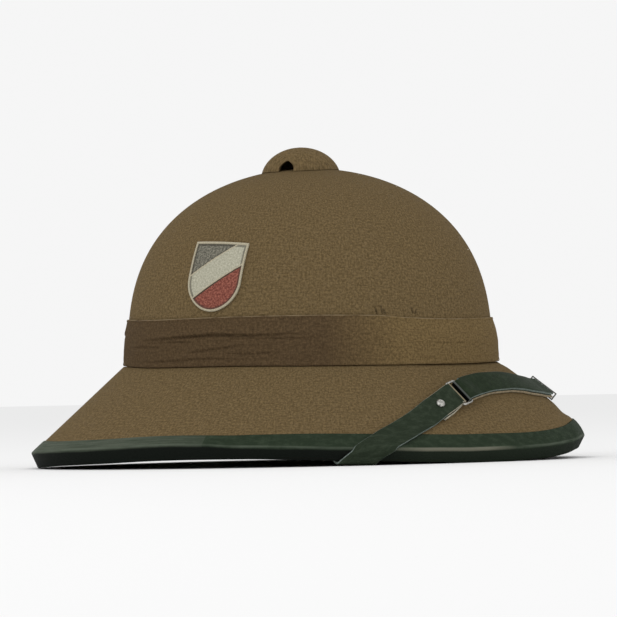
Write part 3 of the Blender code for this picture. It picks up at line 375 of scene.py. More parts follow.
def skin(bearing, along, lift):
    """A point over the helmet's skin, and the skin's outward direction there.

    The distance along the skin is counted from the rim's crease, less than 0 up the brim, and
    more than 0 round the edge, up the brim's underside and up the crown's inner wall.
    """
    cut_at = Section(bearing)
    step = 1 - (cut_at.leg + STRAP_RAMP) / cut_at.slope_length
    points = [cut_at.canvas(step * i / SKIN_CUTS) for i in range(SKIN_CUTS + 1)]
    points.append(cut_at.canvas(1 - cut_at.leg / cut_at.slope_length) + left_of(cut_at.slope) * BINDING_PROUD)
    radii = [0] * len(points)
    points += [cut_at.crease, cut_at.corner, cut_at.corner + cut_at.rise * BINDING_UNDER,
               cut_at.knee, cut_at.knee + Vector((0.0, WALL_REACH))]
    radii += [EDGE_ROUND, EDGE_ROUND, 0, KNEE_ROUND, 0]
    trail = rounded(points, radii)
    marks = [0.0]
    for (point, _), (following, _) in zip(trail, trail[1:]):
        marks.append(marks[-1] + (following - point).length)
    nearest = min(range(len(trail)), key=lambda i: (trail[i][0] - cut_at.crease).length)
    place = along + marks[nearest]
    i = min(max(int(np.searchsorted(marks, place)) - 1, 0), len(trail) - 2)
    run = marks[i + 1] - marks[i]
    share = (place - marks[i]) / run if run else 0.0
    point = trail[i][0].lerp(trail[i + 1][0], share)
    normal = trail[i][1].lerp(trail[i + 1][1], min(max(share, 0.0), 1.0)).normalized()
    return cut_at.place(point + normal * lift), cut_at.turn(normal)


# Chin strap's way

class Way:
    """A smooth way over the helmet's skin, measured along it."""

    def __init__(self, rows):
        places = []
        for bearing, share in rows:
            cut_at = Section(bearing)
            slope_length = (cut_at.crease - cut_at.ledge).length
            places.append((bearing, share * slope_length))
        table = [(0.0, *places[0])]
        for before, after in zip(places, places[1:]):
            middle = (before[0] + after[0]) / 2, (before[1] + after[1]) / 2
            sideways = (after[0] - before[0]) * degree_length(*middle)
            table.append((table[-1][0] + math.hypot(sideways, after[1] - before[1]), *after))
        self.length = table[-1][0]
        self.bearing = curve_through(table, 1)
        self.along = curve_through(table, 2)

    def at(self, place):
        """Bearing and distance along the skin at a place on the way."""
        place = min(max(place, 0.0), self.length)
        return self.bearing(place), self.along(place)

    def find(self, bearing):
        """The place where the way passes a bearing."""
        low, high = 0.0, self.length
        for _ in range(40):
            middle = (low + high) / 2
            if abs(self.bearing(middle) - self.bearing(0.0)) < abs(bearing - self.bearing(0.0)):
                low = middle
            else:
                high = middle
        return low


def degree_length(bearing, along):
    """Distance on the skin that one degree of bearing comes to."""
    return (skin(bearing + 0.5, along, 0.0)[0] - skin(bearing - 0.5, along, 0.0)[0]).length


def frame_on(way, place, lift):
    """A frame on the skin, +X along the strap and +Z straight out."""
    bearing, along = way.at(place)
    level = skin(bearing + 0.5, along, 0.0)[0] - skin(bearing - 0.5, along, 0.0)[0]
    steep = skin(bearing, along + STRAP_REACH, 0.0)[0] - skin(bearing, along - STRAP_REACH, 0.0)[0]
    point, outward = skin(bearing, along, 0.0)
    z = level.cross(steep).normalized()
    z *= math.copysign(1.0, z.dot(outward))
    x = skin(*way.at(place + STRAP_REACH), 0.0)[0] - skin(*way.at(place - STRAP_REACH), 0.0)[0]
    x = (x - z * x.dot(z)).normalized()
    made = Matrix((x, z.cross(x), z)).transposed().to_4x4()
    made.translation = point + z * lift
    return made


def rim_skew(way, place):
    """How far a section of the strap is skewed: fully at the rim, not at all well up the brim."""
    clear = 0.30 * (CROWN_SPRING ** 2 + ((RIM_WIDTH - CROWN_WIDTH) / 2) ** 2) ** 0.5
    return 1.0 - ease((-way.along(place) - clear / 2) / clear)


# Heights of a layer's middle above the skin
LOW_LAYER = CLEARANCE + STRAP_THICK / 2
NEXT_LAYER = STRAP_THICK + CLEARANCE
FOLD_RADIUS = LOOP_WIRE / 2 + CLEARANCE + STRAP_THICK / 2
SLIDE_FLOOR = CLEARANCE + SLIDE_SHEET


def under_lift(way, place):
    """Room for the strap under the brim, where it isn't pressed to the skin."""
    return LOW_LAYER + STRAP_SLACK * ease(way.along(place) / BINDING_UNDER)


class BadgePlace:
    """Where the badge lies on the crown, which it is bent to follow."""

    def __init__(self):
        height = CROWN_SPRING + BADGE_CENTRE
        self.middle = crown_point(BADGE_BEARING, height)
        self.normal = crown_normal(self.middle)
        upward = Vector((0.0, 0.0, 1.0)) - self.normal * self.normal.z
        lean = Matrix.Rotation(-math.radians(BADGE_LEAN), 3, self.normal)
        self.up = lean @ upward.normalized()
        self.side = self.up.cross(self.normal)

    def point(self, flat, height):
        """A point over the crown, given its place on the badge's face."""
        on_crown = onto_crown(self.middle + self.side * flat.x + self.up * flat.y, self.normal)
        return on_crown + crown_normal(on_crown) * (CLEARANCE + height)


# Materials

class Paint:
    """A material whose nodes are laid by short calls. A value is a number, a colour or another
    node's output."""

    def __init__(self, name, roughness, metallic=0.0):
        self.material = bpy.data.materials.new(name)
        self.material.use_nodes = True
        self.nodes = self.material.node_tree.nodes
        self.links = self.material.node_tree.links
        self.shader = self.nodes["Principled BSDF"]
        self.set("Roughness", roughness)
        self.set("Metallic", metallic)
        place = self.node("TexCoord", {})
        self.uv, self.solid = place["UV"], place["Object"]

    def feed(self, socket, value):
        if isinstance(value, bpy.types.NodeSocket):
            self.links.new(value, socket)
        elif isinstance(value, tuple) and len(value) == 3 and socket.type == "RGBA":
            socket.default_value = (*value, 1.0)
        else:
            socket.default_value = value

    def set(self, name, value):
        self.feed(self.shader.inputs[name], value)

    def node(self, kind, inputs, **settings):
        """The outputs of a new node, given its inputs by name or number, and its settings."""
        made = self.nodes.new("ShaderNode" + kind)
        for name, value in settings.items():
            setattr(made, name, value)
        for name, value in inputs.items():
            self.feed(made.inputs[name], value)
        return made.outputs

    def split(self, vector):
        return self.node("SeparateXYZ", {0: vector})

    def stretched(self, vector, x, y, z=1.0):
        return self.node("VectorMath", {0: vector, 1: (x, y, z)}, operation="MULTIPLY")["Vector"]

    def noise(self, vector, scale, detail=2.0, rough=0.5):
        inputs = {"Vector": vector, "Scale": scale, "Detail": detail, "Roughness": rough}
        return self.node("TexNoise", inputs)["Fac"]

    def streaks(self, x, y, rough=0.5):
        """Noise drawn out over the cloth or leather, given its scale along it and across it."""
        return self.noise(self.stretched(self.uv, x, y), 1.0, 3.0, rough)

    def cells(self, vector, scale, feature="F1"):
        return self.node("TexVoronoi", {"Vector": vector, "Scale": scale}, feature=feature)["Distance"]

    def math(self, operation, first, second=0.0):
        return self.node("Math", {0: first, 1: second}, operation=operation)[0]

    def times(self, first, second):
        return self.math("MULTIPLY", first, second)

    def plus(self, first, second):
        return self.math("ADD", first, second)

    def minus(self, first, second):
        return self.math("SUBTRACT", first, second)

    def span(self, value, low, high, to_low=0.0, to_high=1.0):
        """From one value to another between two limits, and level past them."""
        return self.node("MapRange", {0: value, 1: low, 2: high, 3: to_low, 4: to_high})[0]

    def within(self, value, low, high, soft):
        """1 between two limits, falling to 0 over a soft edge."""
        return self.times(self.span(value, low - soft, low), self.span(value, high, high + soft, 1.0, 0.0))

    def mix(self, share, first, second, blend="MIX"):
        """Two colours mixed. The node's inputs 6 and 7 and its output 2 are its colours."""
        return self.node("Mix", {0: share, 6: first, 7: second}, data_type="RGBA", blend_type=blend)[2]

    def fade(self, value, low, high, first, second, most=1.0):
        """One colour below a limit, fading to another above a second limit."""
        return self.mix(self.span(value, low, high, 0.0, most), first, second)

    def bump(self, height, distance, strength=1.0):
        return self.node("Bump", {"Height": height, "Distance": distance, "Strength": strength})["Normal"]


THREAD = 0.00052            # from one thread of the canvas to the next
SLUB = (160.0, 1500.0)      # scales of its thick and thin stretches, along a thread and across it
PINCH_WIDTH = 0.0006        # half width of a pinch in the cloth
PINCH_HEIGHT = 7.0          # in units of the bump's own distance


def scaled(colour, share):
    """A colour made darker or lighter."""
    return tuple(part * share for part in colour)


def cloth_paint(name, colour, light, dark, pinches=()):
    """Plain-woven cotton: threads both ways, thick and thin stretches, specks and worn tone."""
    paint = Paint(name, 0.92)
    across = paint.noise(paint.stretched(paint.uv, *SLUB), 1.0, 2.0, 0.6)
    upward = paint.noise(paint.stretched(paint.uv, *SLUB[::-1]), 1.0, 2.0, 0.6)
    slubs = paint.plus(paint.times(across, 0.5), paint.times(upward, 0.5))
    x, y, _ = paint.split(paint.uv)
    warp, weft = (paint.math("SINE", paint.times(way, math.tau / THREAD)) for way in (x, y))
    patches = paint.noise(paint.uv, 22.0, 3.0, 0.55)
    specks = paint.noise(paint.uv, 700.0, 3.0, 0.75)
    tone = paint.fade(slubs, 0.36, 0.64, dark, light)
    tone = paint.fade(patches, 0.3, 0.7, tone, colour, 0.4)
    tone = paint.fade(specks, 0.50, 0.68, tone, scaled(colour, 0.5), 0.8)
    tone = paint.fade(specks, 0.48, 0.32, tone, scaled(colour, 1.55), 0.8)
    height = paint.plus(paint.times(paint.times(warp, weft), 0.25), paint.times(slubs, 1.6))
    height = paint.plus(height, paint.times(specks, 0.5))
    for first, last in pinches:
        height = paint.plus(height, pinch(paint, x, y, first, last))
    paint.tone = tone
    paint.set("Base Color", tone)
    paint.set("Normal", paint.bump(height, 0.00026, 0.9))
    paint.set("Specular IOR Level", 0.04)
    return paint


def pinch(paint, x, y, first, last):
    """A short pinch in the cloth between two places: a ridge that fades out at both ends."""
    run = Vector(last) - Vector(first)
    length = run.length
    run /= length
    from_x, from_y = paint.minus(x, first[0]), paint.minus(y, first[1])
    along = paint.plus(paint.times(from_x, run.x), paint.times(from_y, run.y))
    off = paint.minus(paint.times(from_x, run.y), paint.times(from_y, run.x))
    ends = paint.within(along, length * 0.2, length * 0.8, length * 0.3)
    return paint.times(ends, paint.span(paint.math("ABSOLUTE", off), 0.0, PINCH_WIDTH, PINCH_HEIGHT, 0.0))


def leather_paint(name, colour, light, grain, roughness):
    """Pebbled leather with paler, worn high spots."""
    paint = Paint(name, roughness)
    pebbles = paint.cells(paint.uv, grain)
    creases = paint.cells(paint.uv, grain * 0.45, "DISTANCE_TO_EDGE")
    patches = paint.noise(paint.uv, 45.0, 3.0, 0.6)
    tone = paint.fade(patches, 0.3, 0.7, colour, scaled(colour, 0.8), 0.5)
    paint.tone = paint.fade(paint.noise(paint.uv, 240.0, 3.0, 0.65), 0.45, 0.75, tone, light, 0.7)
    paint.height = paint.minus(paint.span(creases, 0.0, 0.12), paint.times(pebbles, 0.8))
    paint.set("Normal", paint.bump(paint.height, 0.00016, 0.7))
    paint.set("Specular IOR Level", 0.015)
    return paint


def metal_paint(name, colour, roughness):
    """Dull plated metal with fine scratches and dark specks."""
    paint = Paint(name, roughness, 1.0)
    scratches = paint.noise(paint.stretched(paint.solid, 900.0, 900.0, 6000.0), 1.0, 3.0, 0.6)
    specks = paint.noise(paint.solid, 900.0, 3.0, 0.8)
    paint.set("Base Color", paint.fade(specks, 0.46, 0.62, colour, scaled(colour, 0.2), 0.9))
    paint.set("Roughness", paint.span(scratches, 0.3, 0.7, roughness * 0.7, roughness * 1.4))
    paint.set("Normal", paint.bump(specks, 0.00008, 0.6))
    return paint


# Mesh helpers

def object_from(name, shape):
    """A new object in the scene, made from a shape that is then let go."""
    mesh = bpy.data.meshes.new(name)
    shape.to_mesh(mesh)
    shape.free()
    made = bpy.data.objects.new(name, mesh)
    bpy.context.scene.collection.objects.link(made)
    return made


def grid_piece(name, points, uvs, paint, wrap_rows=False, wrap_columns=False, smooth=50.0):
    """A piece made of four-sided faces between rows of points, each with its place on the cloth."""
    shape = bmesh.new()
    layer = shape.loops.layers.uv.new("UVMap")
    rows = [[shape.verts.new(point) for point in row] for row in points]
    count = len(rows[0])
    for i in range(len(rows) if wrap_rows else len(rows) - 1):
        k = (i + 1) % len(rows)
        for j in range(count if wrap_columns else count - 1):
            m = (j + 1) % count
            face = shape.faces.new((rows[i][j], rows[i][m], rows[k][m], rows[k][j]))
            for loop, (a, b) in zip(face.loops, ((i, j), (i, j + 1), (i + 1, j + 1), (i + 1, j))):
                loop[layer].uv = uvs(a, b)
    bmesh.ops.recalc_face_normals(shape, faces=shape.faces)
    piece = object_from(name, shape)
    piece.data.materials.append(paint.material)
    piece.data.shade_smooth()
    piece.data.set_sharp_from_angle(angle=math.radians(smooth))
    return piece


def ring_piece(name, loops, marks, paint, smooth=50.0, stretch=1.0):
    """A closed ring made of one loop of points for each bearing, its cloth laid by the marks."""
    turn = 360.0 / len(loops)
    return grid_piece(name, loops, lambda i, j: (around(turn * i) * stretch, marks[j % len(marks)]), paint,
                      wrap_rows=True, wrap_columns=True, smooth=smooth)


def close_ends(piece):
    """Fill a piece's open ends."""
    shape = bmesh.new()
    shape.from_mesh(piece.data)
    bmesh.ops.holes_fill(shape, edges=[edge for edge in shape.edges if edge.is_boundary])
    bmesh.ops.recalc_face_normals(shape, faces=shape.faces)
    shape.to_mesh(piece.data)
    shape.free()


def settle(piece, slot, *nodes):
    """Let a piece ride on the helmet and stand for its CAD nodes. Its slot is not used."""
    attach(piece, "root")
    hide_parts(*nodes)


def measured(columns):
    """Distances along a column of points."""
    marks = [0.0]
    for before, after in zip(columns, columns[1:]):
        marks.append(marks[-1] + (after - before).length)
    return marks


CLOTH_RADIUS = 0.105        # the radius at which a bearing is turned into a distance on the cloth


def around(bearing):
    """A bearing as a distance along the cloth or the leather."""
    return math.radians(bearing) * CLOTH_RADIUS


# Pieces

CROWN_FINE = 300            # sections of the crown
CROWN_ROWS = 64             # from its upright foot to its hole
BAND_FINE = 600
RIM_FINE = 300

# Pinches above the band: bearing, height and lean at the lower end, and length
PINCHES = (
    (69.0, 0.0893, 0.0010, 0.0042), (67.2, 0.0896, 0.0008, 0.0046), (66.2, 0.0893, 0.0012, 0.0030),
    (56.5, 0.0892, 0.0008, 0.0036), (55.6, 0.0890, -0.0006, 0.0026),
)


def make_crown():
    """The dome in its canvas, with its wall and the hole at its top."""
    first = math.asin(CROWN_UPRIGHT ** (CROWN_FULLNESS / 2))
    last = math.acos(VENT_HOLE / CROWN_LENGTH)
    climbs = [CROWN_UPRIGHT * step / 4 for step in (1, 2, 3, 4)]
    climbs += [math.sin(first + (last - first) * row / CROWN_ROWS) ** (2 / CROWN_FULLNESS)
               for row in range(1, CROWN_ROWS + 1)]
    columns = []
    for i in range(CROWN_FINE):
        bearing = 360.0 * i / CROWN_FINE
        heights = [foot_height(bearing) + CLEARANCE] + [CROWN_SPRING + CROWN_RISE * climb for climb in climbs]
        outside = [crown_point(bearing, height) for height in heights]
        inside = [point - crown_normal(point) * CROWN_WALL for point in reversed(outside)]
        inside[-1].z = outside[0].z
        columns.append(outside + inside)
    marks = measured(columns[0])
    pinches = []
    for bearing, low, lean, length in PINCHES:
        start = np.interp(low, [point.z for point in columns[0][:20]], marks[:20])
        pinches.append(((around(bearing) + lean, start + length), (around(bearing), start)))
    paint = cloth_paint("canvas_cloth", *CANVAS, pinches)
    settle(ring_piece("crown_cloth", columns, marks, paint), "canvas", "crown")
    return paint


BRIM_STEPS = 24             # rows on the brim's slope
UNDER_STEPS = 12            # and on its underside
BRIM_STRETCH = 1.3          # its cloth is laid further out than the crown's


def make_brim(paint):
    """The brim under its canvas, with the recess for the leather."""
    seat = BINDING_THICK + CLEARANCE
    loops = []
    for i in range(RIM_FINE):
        cut_at = Section(360.0 * i / RIM_FINE)
        leg_share = 1 - (cut_at.leg + CLEARANCE) / cut_at.slope_length
        flat = [cut_at.wall, cut_at.ledge]
        flat += [cut_at.canvas(leg_share * step / BRIM_STEPS) for step in range(1, BRIM_STEPS + 1)]
        flat.append(flat[-1] - left_of(cut_at.slope) * (seat - BINDING_PROUD))
        flat.append(cut_at.leather_corner(seat, True))
        flat.append(cut_at.leather_corner(seat, False))
        leg_end = cut_at.cork_end + cut_at.rise * (BINDING_UNDER + CLEARANCE)
        flat.append(leg_end - left_of(cut_at.rise) * (seat - BINDING_PROUD))
        flat.append(leg_end)
        flat += [leg_end.lerp(cut_at.knee, step / UNDER_STEPS) for step in range(1, UNDER_STEPS + 1)]
        loops.append([cut_at.place(point) for point in flat])
    marks = measured(loops[0])
    settle(ring_piece("brim_cloth", loops, marks, paint, stretch=BRIM_STRETCH), "canvas", "brim")


LAP_BEARING = 111.4         # where the leather strip's two ends overlap
RIM_SWELL = 0.0008          # the leather's swelling over the brim, at the front
RIM_WAVE = 0.00025          # and its unevenness all round
RIM_LIP = 0.0004            # the rounding of its upper edge
RIM_STEPS = 5               # stretches from there to the crease


def rim_paint():
    """The rim's leather: paler and greyer behind its lap, darker ahead of it, with painted shade below the
    crease, a patchy painted highlight just above the crease and a painted highlight streak on the wearer's
    right, ahead of the side.
    """
    paint = leather_paint("rim_leather", *LEATHER, 900.0, 0.6)
    x, y, _ = paint.split(paint.uv)
    behind = paint.times(paint.span(x, around(LAP_BEARING) - 0.0004, around(LAP_BEARING)),
                         paint.span(x, around(190.0), around(250.0), 1.0, 0.0))
    fade = paint.span(x, around(LAP_BEARING), around(130.0), 0.30, 0.62)
    streaks = paint.span(paint.streaks(40.0, 900.0, 0.6), 0.35, 0.65, 0.45, 1.15)
    fade = paint.times(fade, streaks)
    tone = paint.mix(paint.times(behind, fade), paint.tone, LEATHER_WORN)
    # Painted highlight: a paler band just above the crease, in patches
    crease_highlight = paint.within(y, -0.0012, -0.0002, 0.0008)
    patchy = paint.span(paint.streaks(60.0, 400.0), 0.35, 0.65, 0.1, 0.55)
    # Painted shade below the crease, where the bound edge faces out and down: darkest at the sides and back,
    # less dark at the front
    ahead = paint.plus(paint.span(x, around(78.0), around(66.0)), paint.span(x, around(282.0), around(294.0)))
    low = paint.mix(ahead, LEATHER_SHADE_SIDES, LEATHER_SHADE_FRONT)
    tone = paint.fade(y, -0.0002, 0.0012, tone, low)
    tone = paint.mix(paint.times(crease_highlight, patchy), tone, LEATHER_CREASE_HIGHLIGHT)
    gleam = paint.within(x, around(52.0), around(66.0), 0.016)
    gleam = paint.times(gleam, paint.within(y, -0.0010, 0.0002, 0.0009))
    paint.set("Base Color", paint.mix(paint.times(gleam, 0.8), tone, LEATHER_GLEAM))
    return paint


def make_binding():
    """The leather strip folded round the rim, with a lap behind the middle of the right side."""
    loops, marks = [], None
    for i in range(RIM_FINE):
        bearing = 360.0 * i / RIM_FINE
        cut_at = Section(bearing)
        edge = cut_at.canvas(1 - cut_at.leg / cut_at.slope_length)
        outward = left_of(cut_at.slope)
        angle = math.radians(bearing)
        bulge = RIM_WAVE * math.sin(angle * 31) * math.sin(angle * 7)
        upper = edge + outward * BINDING_PROUD
        lower = cut_at.corner + cut_at.rise * BINDING_UNDER
        top = [upper - outward * BINDING_PROUD * 1.6, upper - outward * BINDING_PROUD * 0.5,
               upper + cut_at.slope * RIM_LIP * 0.75]
        swell = RIM_SWELL * max(math.cos(angle), 0.0) ** 6 + bulge
        foot = upper + cut_at.slope * RIM_LIP
        arch = [foot.lerp(cut_at.crease, share) + outward * swell * math.sin(math.pi * share) ** 0.7
                for share in (step / RIM_STEPS for step in range(1, RIM_STEPS))]
        outside = rounded((foot, *arch, cut_at.crease, cut_at.corner, lower),
                          (0, *[0.001] * len(arch), EDGE_ROUND, EDGE_ROUND, 0), 6)
        flat = top + [point for point, normal in outside]
        flat.append(lower - left_of(cut_at.rise) * BINDING_THICK)
        flat.append(cut_at.leather_corner(BINDING_THICK, False))
        flat.append(cut_at.leather_corner(BINDING_THICK, True))
        flat.append(upper - outward * BINDING_THICK)
        loops.append([cut_at.place(point) for point in flat])
        if marks is None:
            steps = measured(loops[0])
            crease = min(range(len(flat)), key=lambda k: (flat[k] - cut_at.crease).length)
            marks = [step - steps[crease] for step in steps]
    settle(ring_piece("rim_leather", loops, marks, rim_paint()), "green_leather", "rim_binding")


# Folds in the band: depth, half width, and the places that each passes, as bearing and share of height
BAND_FOLDS = (
    (0.0018, 0.0010, ((152, 0.555), (134, 0.600), (120, 0.632), (108, 0.606), (90, 0.625))),
    (0.0009, 0.0008, ((118, 0.520), (108, 0.545), (97, 0.540), (86, 0.560))),
    (0.0009, 0.0008, ((150, 0.500), (138, 0.515), (126, 0.500))),
    (0.0010, 0.0009, ((130, 0.285), (121, 0.330), (109, 0.400))),
    (0.0007, 0.0008, ((118, 0.250), (108, 0.235), (99, 0.260))),
    (0.0008, 0.0009, ((152, 0.105), (138, 0.120), (124, 0.150), (110, 0.130))),
    (0.0007, 0.0010, ((160, 0.400), (150, 0.425), (140, 0.410))),
    (0.0005, 0.0009, ((-150, 0.52), (-126, 0.58), (-96, 0.60))),
    (0.0006, 0.0010, ((-64, 0.30), (-44, 0.33), (-22, 0.36))),
    (0.0006, 0.0010, ((170, 0.66), (190, 0.62), (208, 0.64))),
    (0.0005, 0.0010, ((176, 0.25), (192, 0.30), (214, 0.28))),
    (0.0003, 0.0008, ((60, 0.47), (45, 0.45), (20, 0.46))),
)
FOLD_CURVES = {places: curve_through(sorted(places), 1) for _, _, places in BAND_FOLDS}


def fold_relief(bearing, share, height):
    """How far the band's folds move its surface in or out at one place."""
    relief = 0.0
    for depth, width, places in BAND_FOLDS:
        first, last = min(places)[0], max(places)[0]
        turned = bearing if bearing >= first else bearing + 360.0
        if first <= turned <= last:
            fade = math.sin(math.pi * (turned - first) / (last - first)) ** 0.6
            off = (share - FOLD_CURVES[places](turned)) * height / width
            if -6 < off < 6:
                relief += fade * depth * (0.55 * math.exp(-((off - 1.8) / 1.9) ** 2)
                                          - math.exp(-off * off if off < 0 else -(off * 1.6) ** 2))
    return relief


BAND_ROLL = 0.00035         # rise of its rolled upper edge
BAND_HEM = 0.0004           # and of its hem along the brim
BAND_WAVE = 0.00012         # its unevenness all round
BAND_TUCK = 0.0008          # its lowest line lies this much nearer the crown
BAND_DROP = 0.0007          # and its highest one, at the front
BAND_ROWS = 55              # evenly spaced lines of it, beside those that follow both edges
BAND_EDGES = {0.0, 0.006, 0.015, 0.03, 0.045, 0.96, 0.972, 0.982, 0.990, 0.996, 1.0}


def make_band():
    """The cloth band: its folds, a rolled upper edge and a hem along the brim."""
    shares = sorted(BAND_EDGES | {round(0.06 + 0.89 * k / (BAND_ROWS - 1), 4) for k in range(BAND_ROWS)})
    loops = []
    for i in range(BAND_FINE):
        bearing = 360.0 * i / BAND_FINE
        low = foot_height(bearing) + CLEARANCE
        high = BRIM_FOOT + BAND_HEIGHT * band_top(bearing)
        angle = math.radians(bearing)
        front = (1 + math.cos(angle)) / 2
        loop = []
        signed = (bearing + 180.0) % 360.0 - 180.0
        for share in shares:
            point = crown_point(bearing, low + (high - low) * share)
            out = crown_normal(point)
            out.z = 0.0
            stand = BAND_BULK * (bulk_back(share) * (1 - front) + bulk_front(share) * front)
            reliefs = [fold_relief(turned, share, high - low) for turned in {bearing, signed}]
            stand += max(reliefs, key=abs)
            stand += BAND_ROLL * math.exp(-((1 - share) * (high - low) / 0.0007 - 1.0) ** 2)
            stand += BAND_HEM * math.exp(-(share * (high - low) / 0.0010 - 1.0) ** 2)
            stand += BAND_WAVE * math.sin(angle * 23 + share * 5) * math.sin(math.pi * share)
            if share == 0.0:
                stand -= BAND_TUCK
            if share == 1.0:
                stand -= BAND_DROP * front
            loop.append(point + out.normalized() * stand)
        for share in (1.0, 0.8, 0.6, 0.45, 0.2, 0.0):
            point = crown_point(bearing, low + (high - low) * share)
            loop.append(point + crown_normal(point) * CLEARANCE * 0.5)
        loops.append(loop)
    marks = measured(loops[0])
    paint = cloth_paint("band_cloth", *BAND)
    x, y, _ = paint.split(paint.uv)
    top = marks[len(shares) - 1]
    edge = paint.within(y, top - 0.0011, top - 0.0004, 0.0003)
    worn = paint.span(paint.streaks(120.0, 120.0), 0.36, 0.58, 0.15, 0.9)
    fresh = paint.plus(paint.span(x, around(86.0), around(62.0)), paint.span(x, around(290.0), around(312.0)))
    tone = paint.mix(fresh, paint.tone, paint.mix(1.0, paint.tone, BAND_AHEAD, "MULTIPLY"))
    paint.set("Base Color", paint.mix(paint.times(edge, worn), tone, CANVAS_RUBBED))
    settle(ring_piece("band_folds", loops, marks, paint, 75.0), "band_cloth", "hat_band")


CAP_FINE = 144              # sections of the cap
CAP_ROWS = 24
CAP_CLOTH = Vector((0.4, 0.0))  # where its cloth lies beside the crown's
# Outline of an opening: shares of half its width and of its height
ARCH_OUTLINE = ((1.0, -1.0), (1.0, 0.35), (0.90, 0.52), (0.66, 0.72), (0.34, 0.88), (0.0, 1.0))


def make_vent_cap(paint):
    """The cap over the hole, hollow, with its pointed openings."""
    middle_x = CROWN_AHEAD - CAP_BEHIND
    top = CROWN_SPRING + CROWN_RISE + CAP_TOP
    loops = []
    for i in range(CAP_FINE):
        angle = math.tau * i / CAP_FINE
        out = Vector((math.cos(angle), -math.sin(angle), 0.0))
        loop = []
        for inset, shares in ((0.0, range(1, CAP_ROWS + 1)), (CAP_WALL, range(CAP_ROWS, 0, -1))):
            radius, semi = CAP_RADIUS - inset, CAP_SEMI - inset
            foot = Vector((middle_x, 0.0, 0.0)) + out * radius * 0.97
            drop = top - inset - crown_height(foot.x, foot.y) - CLEARANCE
            for row in shares:
                sink = drop * math.sin(math.pi / 2 * row / CAP_ROWS) ** 2
                reach = radius * math.sqrt(max(1 - (1 - min(sink / semi, 1.0)) ** 2, 0.0))
                loop.append(Vector((middle_x, 0.0, top - inset - sink)) + out * reach)
        loops.append(loop)
    cap = grid_piece("cap_cloth", loops, lambda i, j: loops[i % CAP_FINE][j].xy + CAP_CLOTH,
                     paint, wrap_rows=True)
    close_ends(cap)
    for i in range(ARCH_COUNT):
        cutter = arch_cutter(middle_x, math.radians(ARCH_BEARING + 360.0 * i / ARCH_COUNT))
        hole = cap.modifiers.new("hole", "BOOLEAN")
        hole.operation = "DIFFERENCE"
        hole.solver = "EXACT"
        hole.object = cutter
        bpy.context.view_layer.update()
        cut_cap = bpy.data.meshes.new_from_object(cap.evaluated_get(bpy.context.evaluated_depsgraph_get()))
        cap.modifiers.clear()
        cap.data = cut_cap
        bpy.data.objects.remove(cutter)
    settle(cap, "canvas", "vent_cap")


def arch_cutter(middle_x, angle):
    """A pointed arch, long enough to pass through the cap's wall on one side."""
    base = crown_height(middle_x, CAP_RADIUS)
    outline = [(-ARCH_WIDTH / 2 * wide, base + ARCH_HEIGHT * high) for wide, high in ARCH_OUTLINE]
    outline += [(-x, z) for x, z in reversed(outline[:-1])]
    out = Vector((math.cos(angle), -math.sin(angle), 0.0))
    side = Vector((-out.y, out.x, 0.0))
    shape = bmesh.new()
    ends = [[shape.verts.new(Vector((middle_x, 0.0, z)) + out * reach + side * x) for x, z in outline]
            for reach in (CAP_RADIUS * 0.55, CAP_RADIUS * 1.3)]
    for j in range(len(outline)):
        k = (j + 1) % len(outline)
        shape.faces.new((ends[0][j], ends[0][k], ends[1][k], ends[1][j]))
    for end in ends:
        shape.faces.new(end)
    bmesh.ops.recalc_face_normals(shape, faces=shape.faces)
    return object_from("arch", shape)


# Chin strap

STATION = 0.0012            # between the straps' fine sections
FOLD_STEPS = 14             # between those round one of the loop's bars
TAIL_ASIDE = 0.0012         # the short strap's fold-back shows this much below it
LAYER_ASIDE = 0.0007        # and the long strap's second layer
SLIDE_ASIDE = 0.0015        # and that layer in the slide
TOP_ASIDE = 0.0007          # and the layer above it there
RAW_EDGE = 0.0006           # pale border of a fold-back's inner face
# Across the strap: place as a share of half its width, and thickness as a share of its own
STRAP_SECTION = ((-1.0, 0.55), (-0.985, 0.85), (-0.95, 1.0), (-0.6, 1.0), (-0.3, 1.0), (0.0, 1.0),
                 (0.3, 1.0), (0.6, 1.0), (0.95, 1.0), (0.985, 0.85), (1.0, 0.55))


def fine_row(way, place, lift, skew=0.0, aside=0.0):
    """Points across the strap at a place on its way, moved aside towards the rim."""
    bearing, along = way.at(place)
    per_degree = degree_length(bearing, along)
    run = Vector(way.at(place + STRAP_REACH)) - Vector(way.at(place - STRAP_REACH))
    run = Vector((run.x * per_degree, run.y)).normalized()
    side = left_of(run)
    shear = -skew * side.y / run.y if skew else 0.0
    row = []
    for share, _ in STRAP_SECTION:
        shift = (side + run * shear) * STRAP_WIDTH / 2 * share
        row.append(skin(bearing + shift.x / per_degree, along + shift.y + aside, lift)[0])
    return row


def fine_flat(place, x, z, aside=0.0):
    """Points straight across the strap in a frame."""
    return [place @ Vector((x, STRAP_WIDTH / 2 * share + aside, z)) for share, _ in STRAP_SECTION]


def fine_fold(place):
    """Rows that come in above one of the loop's bars, go round it and leave below it."""
    bar = -LOOP_SPAN / 2
    rows = [fine_flat(place, bar - FOLD_RADIUS, FOLD_RADIUS)]
    for i in range(FOLD_STEPS + 1):
        turn = math.pi * i / FOLD_STEPS
        rows.append(fine_flat(place, bar + FOLD_RADIUS * math.sin(turn), FOLD_RADIUS * math.cos(turn)))
    return rows + [fine_flat(place, bar - FOLD_RADIUS, -FOLD_RADIUS)]


def places_between(first, last):
    """Evenly spaced places, about a station apart."""
    count = max(int(abs(last - first) / STATION), 1)
    return [first + (last - first) * i / count for i in range(count + 1)]


